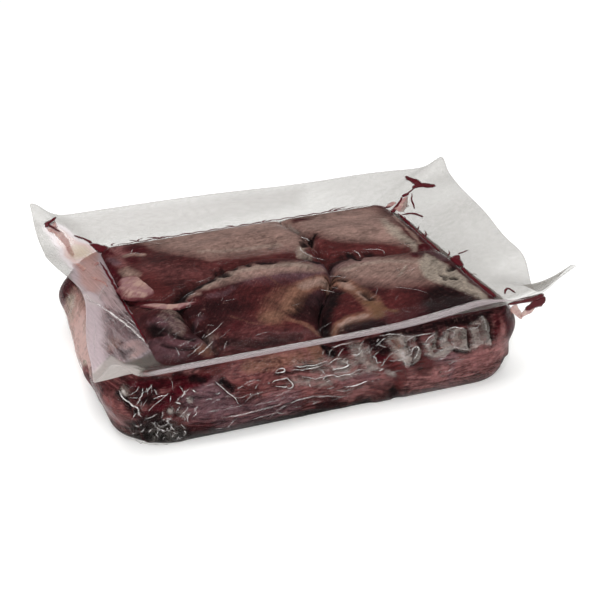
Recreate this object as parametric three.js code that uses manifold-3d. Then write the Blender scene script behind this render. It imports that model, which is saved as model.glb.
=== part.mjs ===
// A vacuum pack of raw beef cheeks, lying on its pocket: four cheeks pressed into one block by the film
// that shrank on to them, and the welded film border that stands up round the block like a shallow dish.
// Millimetres, +Z up. X runs along the pack and +Y to its back. The pack rests on z = 0, and the origin is
// under the middle of its bounding box.
import * as THREE from "three";
import { mergeVertices } from "three/addons/utils/BufferGeometryUtils.js";
import Module from "manifold-3d";

const QUARTER = Math.PI / 2;

// The pocket is made this far too deep, and then cut flat where it rests.
const SUNK = 1;

// The pocket, as outlines at three heights: base that it rests on, belly where it is widest, and the crease
// where the film border leaves it. Each is a rectangle with rounded corners.
const BASE = { left: -110, right: 114, front: -76, back: 73, corner: 24, z: -SUNK };
const BELLY = { left: -128, right: 122.5, front: -86, back: 83, corner: 27, z: 27 };
const CREASE = { left: -99, right: 107, front: -78, back: 77, corner: 11, z: 50 };
const SKEW = 0.085; // the right-hand end runs outwards towards the front
const BELLY_SHARE = 0.42; // of the wall's rows lie under the belly

// The top of the meat.
const CROWN = 6.5; // from the crease up to the flat of the meat
const CROWN_REACH = 6; // how far inside the crease the top curves over
const RIDGE = 3.2; // each cheek stands up along a ridge
const RIDGE_REACH = 17;
const SEAM_DEPTH = 5.2; // the valleys between two cheeks
const SEAM_REACH = 5.5;
const SEAM_FADE = 13; // they run out this far from the crease, where the film holds the meat down

// Meat and film bulge a little between their folds.
const WALL_LUMP = 1.7;
const WALL_FOLD = 1.3;

// The film border: two webs welded together, drawn thicker than film, and rooted in the block.
const FILM = 0.9;
const ROOT = 3.5;
const LIFT = 1; // its root lies this far above the crease
const BORDER = { left: -137, right: 149, front: -104, back: 107, corner: 2, z: 64 };

// Where the border's edge leaves its plain rectangle: a place on the edge, how far the bend reaches, and
// how far it moves the edge sideways and up.
const BENDS = [
  { name: "back left tip", x: -137, y: 107, reach: 13, dx: 2, dy: 0, dz: 13 },
  { name: "left sag", x: -137, y: 78, reach: 19, dx: 4, dy: 0, dz: -9 },
  { name: "left bow", x: -137, y: -8, reach: 42, dx: 12, dy: 0, dz: 3 },
  { name: "front left tip", x: -137, y: -104, reach: 16, dx: -3, dy: 0, dz: -1 },
  { name: "front left fold", x: -127, y: -104, reach: 8, dx: 0, dy: 3, dz: 10 },
  { name: "front rise", x: 92, y: -104, reach: 34, dx: 0, dy: 0, dz: 6 },
  { name: "front right tip", x: 149, y: -104, reach: 20, dx: -4, dy: 0, dz: 20 },
  { name: "right sag", x: 149, y: -63, reach: 17, dx: -6, dy: 0, dz: -17 },
  { name: "right slump", x: 149, y: -20, reach: 30, dx: -3, dy: 0, dz: -3 },
  { name: "back right tip", x: 149, y: 107, reach: 38, dx: 10, dy: 0, dz: -5 },
  { name: "back right curl", x: 149, y: 107, reach: 9, dx: 0, dy: 0, dz: 7 },
  { name: "back dip", x: 60, y: 107, reach: 60, dx: 0, dy: 0, dz: -3 },
];

// How finely the surfaces are divided.
const COLUMNS = { x: 48, y: 34 };
const ROWS = 9;
const BORDER_ROWS = 4;

const bell = (distance, reach) => Math.exp(-((distance / reach) ** 2));
const mix = (a, b, share) => a + (b - a) * share;

// A point of the square from -1 to 1 moved to its place in a rounded rectangle. Squares round the middle
// become ever rounder rectangles, up to the outline itself.
function inOutline(across, along, outline) {
  const halfX = (outline.right - outline.left) / 2;
  const halfY = (outline.back - outline.front) / 2;
  const coreX = halfX - outline.corner;
  const coreY = halfY - outline.corner;
  const x = across * halfX;
  const y = along * halfY;
  const nearX = THREE.MathUtils.clamp(x, -coreX, coreX);
  const nearY = THREE.MathUtils.clamp(y, -coreY, coreY);
  const past = new THREE.Vector2(x - nearX, y - nearY);
  past.setLength(Math.max(Math.abs(past.x), Math.abs(past.y)));
  return new THREE.Vector2(
    (outline.left + outline.right) / 2 + nearX + past.x,
    (outline.front + outline.back) / 2 + nearY + past.y,
  );
}

function inPocket(across, along, outline) {
  const place = inOutline(across, along, outline);
  if (place.x > 0) place.x -= (SKEW * place.y * place.x) / outline.right;
  return place;
}

// The seams between the cheeks, seen from above. The long one parts the two rows, and swings back round the
// large cheek at the front left. The short ones part left from right in each row.
const rowSeam = (x) => -3 + 0.02 * x + 25 * bell(x + 8, 42) - 12 * bell(x + 85, 20);
const backSeam = (y) => 29 + 2.5 * Math.sin(y / 14);
const frontSeam = (y) => 16 + 17 * Math.tanh((y + 33) / 26);
const leftSeam = (y) => -68 + 4 * Math.sin(y / 16);

function topHeight(x, y) {
  const rightEdge = CREASE.right - SKEW * y;
  const inside = Math.min(x - CREASE.left, rightEdge - x, y - CREASE.front, CREASE.back - y);
  const rise = 1 - Math.exp(-Math.max(inside, 0) / CROWN_REACH);
  const seam = rowSeam(x);
  const isBack = THREE.MathUtils.smoothstep(y, seam - 9, seam + 9);
  const ridges =
    (1 - isBack) * bell(y - (seam - 19), RIDGE_REACH) + isBack * bell(y - (seam + 42) / 1.35, RIDGE_REACH);
  const seams =
    bell(y - seam, SEAM_REACH) +
    0.8 * isBack * bell(x - backSeam(y), SEAM_REACH) +
    (1 - isBack) * (0.9 * bell(x - frontSeam(y), SEAM_REACH) + 0.6 * bell(x - leftSeam(y), SEAM_REACH));
  const open = THREE.MathUtils.smoothstep(inside, 0, SEAM_FADE);
  return CREASE.z + rise * (CROWN + RIDGE * ridges - SEAM_DEPTH * open * Math.min(seams, 1.15));
}

// How far the wall stands out from its plain curve, with the share of its height from 0 to 1.
function wallRelief(x, y, z, share) {
  const lumps = Math.sin(x / 19 + 0.6 + 0.9 * Math.sin(z / 13)) * Math.cos(y / 21 + 0.4 + z / 30);
  const folds = Math.sin(z / 4.1 + 1.5 * Math.sin(x / 23 + 1) + 1.2 * Math.cos(y / 17));
  const parting = 1.6 * bell(x + 6, 9) * THREE.MathUtils.smoothstep(z, 20, 48);
  return Math.sin(Math.PI * share) * (WALL_LUMP * lumps + WALL_FOLD * folds - parting);
}

function wallPlace(across, along, share) {
  const below = share < BELLY_SHARE;
  const turn = below
    ? (share / BELLY_SHARE) * QUARTER
    : ((share - BELLY_SHARE) / (1 - BELLY_SHARE)) * QUARTER;
  const belly = inPocket(across, along, BELLY);
  const other = inPocket(across, along, below ? BASE : CREASE);
  const place = below ? other.lerp(belly, Math.sin(turn)) : belly.lerp(other, 1 - Math.cos(turn));
  const z = below ? mix(BASE.z, BELLY.z, 1 - Math.cos(turn)) : mix(BELLY.z, CREASE.z, Math.sin(turn));
  const out = place.clone().normalize();
  place.addScaledVector(out, wallRelief(place.x, place.y, z, share));
  return new THREE.Vector3(place.x, place.y, z);
}

// The filled pocket: a box of many faces, each corner of it moved to its place on the base, wall or top.
function pocketGeometry() {
  const geometry = new THREE.BoxGeometry(2, 2, 1, COLUMNS.x, COLUMNS.y, ROWS);
  const corners = geometry.getAttribute("position");
  for (let i = 0; i < corners.count; i++) {
    const across = corners.getX(i);
    const along = corners.getY(i);
    const share = corners.getZ(i) + 0.5;
    const isWall = Math.max(Math.abs(across), Math.abs(along)) > 0.9999;
    let place;
    if (isWall) {
      place = wallPlace(across, along, share);
    } else if (share > 0.5) {
      const flat = inPocket(across, along, CREASE);
      place = new THREE.Vector3(flat.x, flat.y, topHeight(flat.x, flat.y));
    } else {
      const flat = inPocket(across, along, BASE);
      place = new THREE.Vector3(flat.x, flat.y, BASE.z);
    }
    corners.setXYZ(i, place.x, place.y, place.z);
  }
  return geometry;
}

// The border's columns stand on the pocket's own columns, all round the square.
const BORDER_COLUMNS = 2 * (COLUMNS.x + COLUMNS.y);

function columnInSquare(column) {
  const sides = [
    [COLUMNS.y, (step) => [1, step]],
    [COLUMNS.x, (step) => [-step, 1]],
    [COLUMNS.y, (step) => [-1, -step]],
    [COLUMNS.x, (step) => [step, -1]],
  ];
  let left = column;
  for (const [count, place] of sides) {
    if (left < count) return place((2 * left) / count - 1);
    left -= count;
  }
  return [1, -1];
}

// The border's middle surface. Row 0 is its root inside the block, row 1 stands over the crease, and the
// last row is its edge.
function borderPlace(column, row) {
  const [across, along] = columnInSquare(column);
  const edge = inOutline(across, along, BORDER);
  if (row === 0) {
    const inX = 1 - (2 * ROOT) / (CREASE.right - CREASE.left);
    const inY = 1 - (2 * ROOT) / (CREASE.back - CREASE.front);
    const root = inPocket(
      THREE.MathUtils.clamp(across, -inX, inX),
      THREE.MathUtils.clamp(along, -inY, inY),
      CREASE,
    );
    return new THREE.Vector3(root.x, root.y, CREASE.z + LIFT);
  }
  const out = (row - 1) / BORDER_ROWS;
  const flat = inPocket(across, along, CREASE).lerp(edge, out);
  const place = new THREE.Vector3(flat.x, flat.y, mix(CREASE.z + LIFT, BORDER.z, out));
  for (const bend of BENDS) {
    const pull = bell(Math.hypot(edge.x - bend.x, edge.y - bend.y), bend.reach) * out ** 1.8;
    place.add(new THREE.Vector3(bend.dx, bend.dy, bend.dz).multiplyScalar(pull));
  }
  return place;
}

// A ring with a flat section, turned on a lathe and then laid along the border.
function borderGeometry() {
  const profile = [];
  for (let row = 0; row <= BORDER_ROWS + 1; row++) profile.push(new THREE.Vector2(1 + row, 0));
  for (let row = BORDER_ROWS + 1; row >= 0; row--) profile.push(new THREE.Vector2(1 + row, FILM));
  profile.push(profile[0].clone());
  const geometry = new THREE.LatheGeometry(profile, BORDER_COLUMNS);
  const corners = geometry.getAttribute("position");
  for (let i = 0; i < corners.count; i++) {
    const row = Math.round(Math.hypot(corners.getX(i), corners.getZ(i)) - 1);
    const turn = Math.atan2(corners.getX(i), corners.getZ(i)) / (2 * Math.PI);
    const column = (Math.round(turn * BORDER_COLUMNS) + BORDER_COLUMNS) % BORDER_COLUMNS;
    const place = borderPlace(column, row);
    corners.setXYZ(i, place.x, place.y, place.z + corners.getY(i) - FILM / 2);
  }
  return geometry;
}

// The library that joins solids takes bare corners and triangles, and gives them back.
const wasm = await Module();
wasm.setup();

function toSolid(geometry) {
  const bare = geometry.clone();
  bare.deleteAttribute("normal");
  bare.deleteAttribute("uv");
  const merged = mergeVertices(bare, 1e-4);
  const mesh = new wasm.Mesh({
    numProp: 3,
    vertProperties: new Float32Array(merged.getAttribute("position").array),
    triVerts: new Uint32Array(merged.getIndex().array),
  });
  return new wasm.Manifold(mesh);
}

function toGeometry(solid) {
  const mesh = solid.getMesh();
  const geometry = new THREE.BufferGeometry();
  geometry.setAttribute("position", new THREE.BufferAttribute(mesh.vertProperties, 3));
  geometry.setIndex(new THREE.BufferAttribute(mesh.triVerts, 1));
  geometry.computeVertexNormals();
  return geometry;
}

const ground = new THREE.BoxGeometry(400, 400, 40).translate(0, 0, -20);
const packSolid = toSolid(pocketGeometry()).subtract(toSolid(ground)).add(toSolid(borderGeometry()));
const packGeometry = toGeometry(packSolid);
packGeometry.computeBoundingBox();
const middle = packGeometry.boundingBox.getCenter(new THREE.Vector3());
packGeometry.translate(-middle.x, -middle.y, -packGeometry.boundingBox.min.z);

const sealedPack = new THREE.Mesh(
  packGeometry,
  new THREE.MeshStandardMaterial({ color: 0x5c3236, roughness: 0.35, metalness: 0 }),
);
sealedPack.name = "sealed_pack";

const pack = new THREE.Group();
pack.add(sealedPack);

export default pack;
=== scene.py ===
"""A vacuum pack of raw beef cheeks: four cheeks, a small muscle, a piece of fat and a strip of tendon
pressed into one block, the clear film that shrank on to them, the welded film border that stands up round
the block, and the dark juice that the film holds in its corners.

Shapes are worked out in millimetres in the block's own frame, x along the pack and y to its back, and
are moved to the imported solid's place in metres as they become meshes.
"""

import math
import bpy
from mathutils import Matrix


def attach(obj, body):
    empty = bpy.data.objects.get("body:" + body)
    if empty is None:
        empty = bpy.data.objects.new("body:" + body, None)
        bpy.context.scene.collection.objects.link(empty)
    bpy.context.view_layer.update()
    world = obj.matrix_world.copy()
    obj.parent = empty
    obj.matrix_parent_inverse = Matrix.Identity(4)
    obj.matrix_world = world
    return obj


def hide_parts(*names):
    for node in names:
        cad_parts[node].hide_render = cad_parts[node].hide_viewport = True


bl_info = {
    "name": "Vacuum Pack of Beef Cheeks",
    "version": (1, 0, 0),
    "blender": (4, 5, 0),
    "location": "3D View > Sidebar > Beef Pack",
    "description": "Builds a vacuum pack of raw beef cheeks round its packed solid",
    "category": "Add Mesh",
}

from collections import namedtuple

import bmesh
import bpy
import numpy as np
from mathutils import Vector

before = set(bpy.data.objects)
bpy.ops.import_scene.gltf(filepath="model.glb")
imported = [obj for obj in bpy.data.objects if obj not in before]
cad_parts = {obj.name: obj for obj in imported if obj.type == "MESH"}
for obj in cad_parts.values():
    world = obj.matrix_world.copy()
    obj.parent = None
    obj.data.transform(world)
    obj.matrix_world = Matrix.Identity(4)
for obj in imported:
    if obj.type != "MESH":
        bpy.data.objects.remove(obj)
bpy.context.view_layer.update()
NODE = "sealed_pack"
MM = 0.001

# The pocket as rounded rectangles at three heights, and the border's edge, in millimetres.
BASE = {"left": -110, "right": 114, "front": -76, "back": 73, "corner": 24, "z": -1}
BELLY = {"left": -128, "right": 122.5, "front": -86, "back": 83, "corner": 27, "z": 27}
CREASE = {"left": -99, "right": 107, "front": -78, "back": 77, "corner": 11, "z": 50}
BORDER = {"left": -137, "right": 149, "front": -104, "back": 107, "corner": 2, "z": 64}
SKEW = 0.085
BELLY_SHARE = 0.42
BORDER_LIFT = 1.0
HEM_RISE = 2.3

# Where the border's edge leaves its plain rectangle: x, y, reach, and the move in x, y and z.
BENDS = {
    "back left tip": (-137, 107, 13, 2, 0, 13),
    "left sag": (-137, 78, 19, 4, 0, -9),
    "left bow": (-137, -8, 42, 12, 0, 3),
    "front left tip": (-137, -104, 16, -3, 0, -1),
    "front left fold": (-127, -104, 8, 0, 3, 10),
    "front rise": (92, -104, 34, 0, 0, 6),
    "front right tip": (149, -104, 20, -4, 0, 20),
    "right sag": (149, -63, 17, -6, 0, -17),
    "right slump": (149, -20, 30, -3, 0, -3),
    "back right tip": (149, 107, 38, 10, 0, -5),
    "back right curl": (149, 107, 9, 0, 0, 7),
    "back dip": (60, 107, 60, 0, 0, -3),
}

# The marks on the meat and the film were measured from one spot in front of the pack, on two flat planes:
# a level one at the height of the crown, and an upright one at the front of the belly.
SIGHT_TURN = math.radians(20)
SIGHT_TILT = math.radians(29)
SIGHT_LENGTH = 888
SIGHT_TARGET = np.array([16.1, 10.6, 26.5])
SIGHT_BACK = np.array(
    [
        -math.sin(SIGHT_TURN) * math.cos(SIGHT_TILT),
        -math.cos(SIGHT_TURN) * math.cos(SIGHT_TILT),
        math.sin(SIGHT_TILT),
    ]
)
SIGHT_SPOT = SIGHT_TARGET + SIGHT_LENGTH * SIGHT_BACK
CROWN_PLANE = 57
FRONT_PLANE = -86

# Half the width past which a fold of film is a milky patch and not a crisp crease.
WIDE_FOLD = 1.05

# How finely things are cut or measured: the pocket's film across, along and up, the border's film round and
# outwards, the border's points that juice and creases are laid on, and its edge.
POCKET_CUTS = (300, 150, 58)
BORDER_CUTS = (760, 44)
BORDER_GRID = (1800, 90)
EDGE_STEPS = 800

# How far out towards the solid's edge the border's film reaches, as a share.
BORDER_REACH = 0.985

# The height in millimetres that a cheek is cut for, and half the block's depth where a distance on the
# square is turned to millimetres.
CHEEK_HEIGHT = 62
HALF_DEPTH = 80

# Past this, a place on the square from -1 to 1 is on its rim.
RIM = 0.9995

Mark = namedtuple("Mark", "filled half soft strength points")
Fold = namedtuple("Fold", "half height haze points")


def area(soft, strength, *points):
    """A patch inside corners, in millimetres, with a soft edge."""
    return Mark(True, 0.0, soft, strength, points)


def line(half, soft, strength, *points):
    """A streak along points, with half its width and a soft edge."""
    return Mark(False, half, soft, strength, points)


def fold(half, height, haze, *points):
    """A fold of film along points: half its width, its height and how milky it is."""
    return Fold(half, height, haze, points)


# Marks seen from above, x and y on the crown's plane.
TOP_MARKS = {
    "flesh": (
        area(8, 0.25, (-62, -58), (-40, -48), (-26, -58), (-10, -66), (-8, -84), (-62, -84)),
        area(7, 0.4, (-78, 16), (-60, 10), (-44, 8), (-38, 18), (-60, 28), (-80, 34)),
        area(6, 0.5, (32, 26), (46, 24), (60, 14), (82, 4), (70, -2), (44, 6)),
    ),
    "pink": (
        area(4, 0.7, (-92, 68), (-84, 66), (-83, 56), (-86, 46), (-88, 38), (-93, 38), (-92, 52), (-94, 60)),
    ),
    "mauve": (
        area(5, 0.7, (-90, -37), (-84, -33), (-78, -35), (-79, -48), (-84, -56), (-88, -66), (-91, -60),
             (-86, -50)),
        area(7, 0.75, (-27, -2), (-5, -3), (10, -6), (22, -11), (17, -18), (0, -15), (-12, -11), (-25, -8)),
        area(5, 0.6, (-99, -57), (-88, -60), (-80, -66), (-88, -78), (-99, -76)),
        area(4, 0.5, (7, -35), (13, -35), (17, -41), (12, -48), (3, -44)),
        line(1.0, 2.5, 0.5, (-50, -17), (-44, -17)),
        line(0.8, 2.0, 0.6, (-42, -17), (-35, -12)),
        line(0.8, 2.0, 0.5, (-68, -43), (-62, -40)),
        line(1.5, 2.0, 0.8, (-96, 48), (-94, 42)),
        line(2.5, 5.0, 0.5, (-78, -62), (-70, -66)),
        line(2.0, 3.0, 0.7, (100, -4), (101, -20)),
        area(3, 0.8, (20, 3), (26, -2), (34, -5), (50, -5), (60, -9), (40, -10), (24, -7)),
    ),
    # Silverskin, and painted sheen: the film's reflection of the pale floor behind, on the slopes of the cheeks that
    # face back.
    "silverskin_and_sheen": (
        area(8, 1.0, (-66, 66), (-60, 55), (-50, 46), (-36, 37), (-24, 32), (-8, 32), (12, 30), (20, 26),
             (25, 33), (26, 50), (28, 68), (-40, 72)),
        area(5, 0.7, (-52, 44), (-36, 29), (-12, 28), (12, 26), (19, 21), (10, 34), (-20, 36)),
        area(6, 1.0, (30, 60), (31, 48), (42, 42), (44, 34), (50, 27), (62, 21), (76, 15), (84, 8),
             (87, 24), (88, 45), (85, 60), (60, 66), (40, 62)),
        area(3.5, 1.0, (-56, -6), (-50, -2), (-38, 3), (-28, 9), (-15, 10), (-2, 8), (10, 5), (18, 0),
             (24, -8), (20, -9), (10, -5), (-2, -2), (-12, -2), (-22, -3), (-35, -4), (-46, -6)),
        area(7, 1.0, (34, -12), (45, -8), (60, -8), (75, -13), (84, -17), (90, -22), (86, -38), (74, -38),
             (60, -34), (48, -29), (40, -26), (34, -22)),
        area(7, 0.6, (38, -24), (60, -32), (80, -38), (84, -46), (72, -44), (56, -40), (42, -34)),
        # A painted highlight along a fold of the film.
        line(1.0, 2.0, 0.7, (-64, -14), (-57, -12)),
    ),
    "red": (
        area(4, 0.45, (-48, 22), (-30, 23), (-16, 25), (-4, 24), (10, 24), (19, 17), (25, 6), (12, 9),
             (0, 13), (-20, 14), (-40, 17)),
        area(3, 0.9, (31, 24), (40, 26), (51, 21), (62, 17), (70, 13), (80, 8), (87, -2), (84, -10),
             (70, -2), (55, 2), (40, 3), (30, 5), (27, 12)),
        area(6, 0.55, (-32, -14), (-15, -11), (0, -16), (2, -23), (-12, -25), (-24, -40), (-33, -50),
             (-34, -38)),
        area(5, 0.7, (14, -52), (22, -44), (28, -42), (33, -50), (33, -62), (26, -68), (12, -71), (5, -78),
             (8, -64)),
        area(6, 0.7, (42, -52), (50, -44), (58, -46), (61, -60), (56, -72), (44, -76), (40, -66)),
        area(4, 0.8, (-27, -60), (-16, -59), (-10, -66), (-26, -66)),
        line(2.0, 3.0, 0.8, (-85, 42), (-84, 36)),
        line(2.0, 4.0, 0.6, (-80, 20), (-77, 4), (-80, -12)),
    ),
    "tan": (
        area(5, 0.34, (-30, -51), (-24, -40), (-18, -30), (-10, -23), (-2, -22), (-6, -32), (-12, -44),
             (-16, -56), (-24, -62)),
        line(3.0, 4.0, 1.0, (23, -21), (14, -22.5), (6, -25), (0, -29), (-5, -36), (-9, -42), (-12, -47)),
        line(2.6, 3.5, 1.0, (28, -29), (31, -35), (34, -43), (36, -52), (36, -60), (34, -68)),
        line(1.6, 2.6, 1.0, (34, -71), (24, -70.5), (16, -72.5), (8, -77), (2, -82)),
        line(3.5, 4.0, 1.0, (-25, -55), (-23, -53)),
        line(0.4, 0.9, 0.25, (-46, -44), (-42, -52), (-35, -59), (-29, -62)),
        line(0.7, 1.5, 0.6, (-18, -58), (-12, -64), (-8, -71), (-6, -80)),
        line(0.4, 0.9, 0.2, (-13, 4), (-11, -4), (-9, -12), (-8, -20)),
        area(3, 0.6, (-76, -76), (-70, -70), (-66, -74), (-72, -82)),
    ),
    "fat": (
        line(2.0, 3.0, 0.9, (19, -22), (12, -22.5), (6, -25)),
        line(1.8, 2.5, 0.9, (29, -31), (31, -36)),
        line(0.8, 1.6, 0.8, (34, -44), (35, -52)),
        line(0.7, 1.5, 0.9, (26, -70.5), (17, -72), (9, -76.5)),
        area(3, 1.0, (-93, 31), (-89, 33), (-86, 30), (-84, 25), (-88, 25), (-92, 28)),
        # A painted highlight along a fold of the film.
        line(0.8, 1.4, 0.9, (-86, 50), (-80, 51), (-75, 48)),
        line(1.0, 1.2, 0.9, (96, 46), (96.5, 20), (95, 3)),
        line(0.8, 1.0, 0.8, (28.5, 63.5), (27, 61)),
    ),
    # Pale gristle and membrane, and painted sheen: the film's shine on the right shoulder is part of these strips.
    "gristle_and_sheen": (
        area(3, 0.85, (86, 44), (90, 22), (91, 5), (90, -2), (88, 0), (86, 10), (83, 25)),
        area(2, 1.0, (84, -18), (89, -15), (92, -12), (95, -20), (98, -30), (101, -38), (102, -48),
             (102, -60), (103, -80), (101, -80), (97, -70), (93, -62), (88, -52), (83, -46), (80, -40),
             (81, -28)),
        line(0.4, 1.0, 0.5, (74, -22), (70, -27), (64, -33)),
        line(1.2, 2.5, 0.6, (22, 24), (19, 17), (22, 12)),
        # The next three streaks are painted highlights: the film's shine along the crests of the cheeks.
        line(1.0, 2.6, 0.36, (-52, -5), (-40, 1), (-28, 6.5), (-15, 8), (-2, 6), (10, 3), (18, -2)),
        line(1.0, 2.6, 0.32, (36, -14), (48, -10.5), (62, -11), (76, -16), (84, -20)),
        line(0.8, 2.4, 0.3, (-40, 40), (-24, 35), (-6, 34), (10, 32)),
        line(1.4, 4.0, 0.26, (-79, -26), (-75, -32), (-77, -42), (-80, -53)),
        line(0.8, 3.0, 0.22, (-84, -30), (-81, -40), (-84, -50)),
        area(4, 0.22, (-70, -60), (-64, -56), (-60, -62), (-66, -70)),
    ),
    "yellow": (
        line(1.8, 3.0, 0.85, (35, -57), (36, -65), (34, -73)),
        line(0.8, 1.5, 0.7, (40, -60), (41, -68), (45, -72)),
    ),
    "blood": (
        area(3, 1.0, (-104, 72), (-99, 68), (-94, 61), (-92, 54), (-97, 56), (-101, 62)),
        area(3, 0.9, (-82, 64), (-76, 63), (-71, 58), (-72, 52), (-78, 53), (-84, 56)),
        line(1.6, 2.5, 0.9, (-84, 45), (-83, 42)),
        line(1.2, 2.0, 1.0, (-101, 52), (-99, 40), (-98, 26), (-99, 10), (-100, -10)),
        line(1.8, 2.5, 1.0, (-98, 30), (-97, 26)),
        line(1.0, 1.8, 0.9, (-97, -11), (-86, -11)),
        area(2.5, 0.9, (29, 64), (36, 63.5), (43, 61), (30, 60)),
        line(1.2, 1.4, 1.0, (98, 48), (99, 30), (98.5, 12), (98, -4), (99, -12)),
        area(1.6, 1.0, (102, -22), (110, -23.5), (107, -33), (103, -31)),
        line(1.6, 1.2, 1.0, (105, -30), (103.5, -42), (103, -55), (105, -68), (107, -80)),
        line(1.6, 1.6, 0.9, (84, -11), (89, -5), (95, 1)),
        line(2.0, 4.0, 0.5, (-44, -54), (-56, -62)),
    ),
    # Painted shade in the hollows, slits and creases; the meat is sunk under it as well.
    "dark": (
        area(1.8, 1.0, (-75, -20), (-72, -14), (-68, -8), (-60, -3), (-52, 1), (-47, 4), (-41, 6),
             (-41, 2.5), (-50, -1), (-57, -6), (-62, -11), (-66, -16), (-68, -21)),
        area(1.4, 1.0, (-38, 12), (-39, 5), (-36, 3), (-31, 4), (-33, 8)),
        line(1.0, 1.5, 0.9, (-34, 14), (-27, 11.5)),
        line(0.8, 1.5, 0.8, (-19, 16), (-17, 12)),
        line(0.9, 1.5, 0.9, (-9, 13), (-1, 10.5)),
        area(1.2, 1.0, (26, 38), (30, 39), (39, 41), (34, 35), (31, 31), (29, 33)),
        area(1.2, 1.0, (24, 33), (27, 32), (28.5, 28), (26, 24.5), (23, 24.5)),
        line(1.3, 2.0, 0.9, (19, 11), (22, 7), (25, 2)),
        line(1.2, 3.0, 0.7, (33, -2), (38, 0), (44, 3)),
        line(1.6, 1.6, 1.0, (48, 6), (49, 1), (50, -3)),
        line(1.2, 1.6, 0.9, (58, 3), (62, 0.5), (66, -3)),
        area(2.5, 1.0, (-95, -41), (-90, -38), (-86, -44), (-88, -52), (-95, -52)),
        line(1.2, 2.0, 0.9, (-86, -46), (-80, -58), (-74, -62)),
        line(1.0, 2.0, 0.8, (-74, -34), (-70, -42), (-72, -52)),
        line(0.8, 1.6, 0.8, (-92, -62), (-84, -70), (-76, -72)),
        area(5, 0.95, (80, -49), (86, -53), (90, -61), (95, -68), (101, -80), (62, -84), (66, -66),
             (72, -56)),
        line(1.4, 4.0, 1.0, (20, -38), (15, -48), (8, -56), (3, -66), (-1, -80)),
        line(0.8, 1.1, 1.0, (24, -17), (31, -19)),
        line(1.3, 1.3, 1.0, (25, -23), (31, -26)),
        line(1.0, 1.1, 1.0, (19, -30), (23, -32)),
        line(1.3, 1.5, 1.0, (17, -35), (24, -40)),
        area(4, 0.75, (-5, -40), (1, -35), (8, -34), (14, -37), (18, -42), (14, -50), (6, -58), (2, -66),
             (-4, -66), (-10, -60), (-13, -54), (-9, -47)),
        area(1.8, 0.85, (4, -84), (8, -79), (14, -75.5), (24, -74), (32, -77), (35, -84)),
        line(0.8, 1.5, 0.9, (-98, -12), (-96, -12)),
        line(1.2, 1.6, 0.9, (101, -33), (97, -35)),
        line(0.7, 1.3, 0.8, (90, -40), (91, -43)),
        line(0.9, 1.4, 0.9, (93, -46), (96, -47)),
        line(0.5, 1.0, 0.8, (89, -46), (90, -45)),
        line(0.9, 2.0, 0.8, (37, -46), (38, -53)),
        line(3.0, 8.0, 0.5, (-50, -30), (-38, -36)),
        line(3.0, 7.0, 0.5, (-62, -30), (-56, -46), (-70, -54)),
        line(2.0, 4.0, 0.7, (-20, -80), (-40, -80), (-58, -70)),
    ),
}

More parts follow.
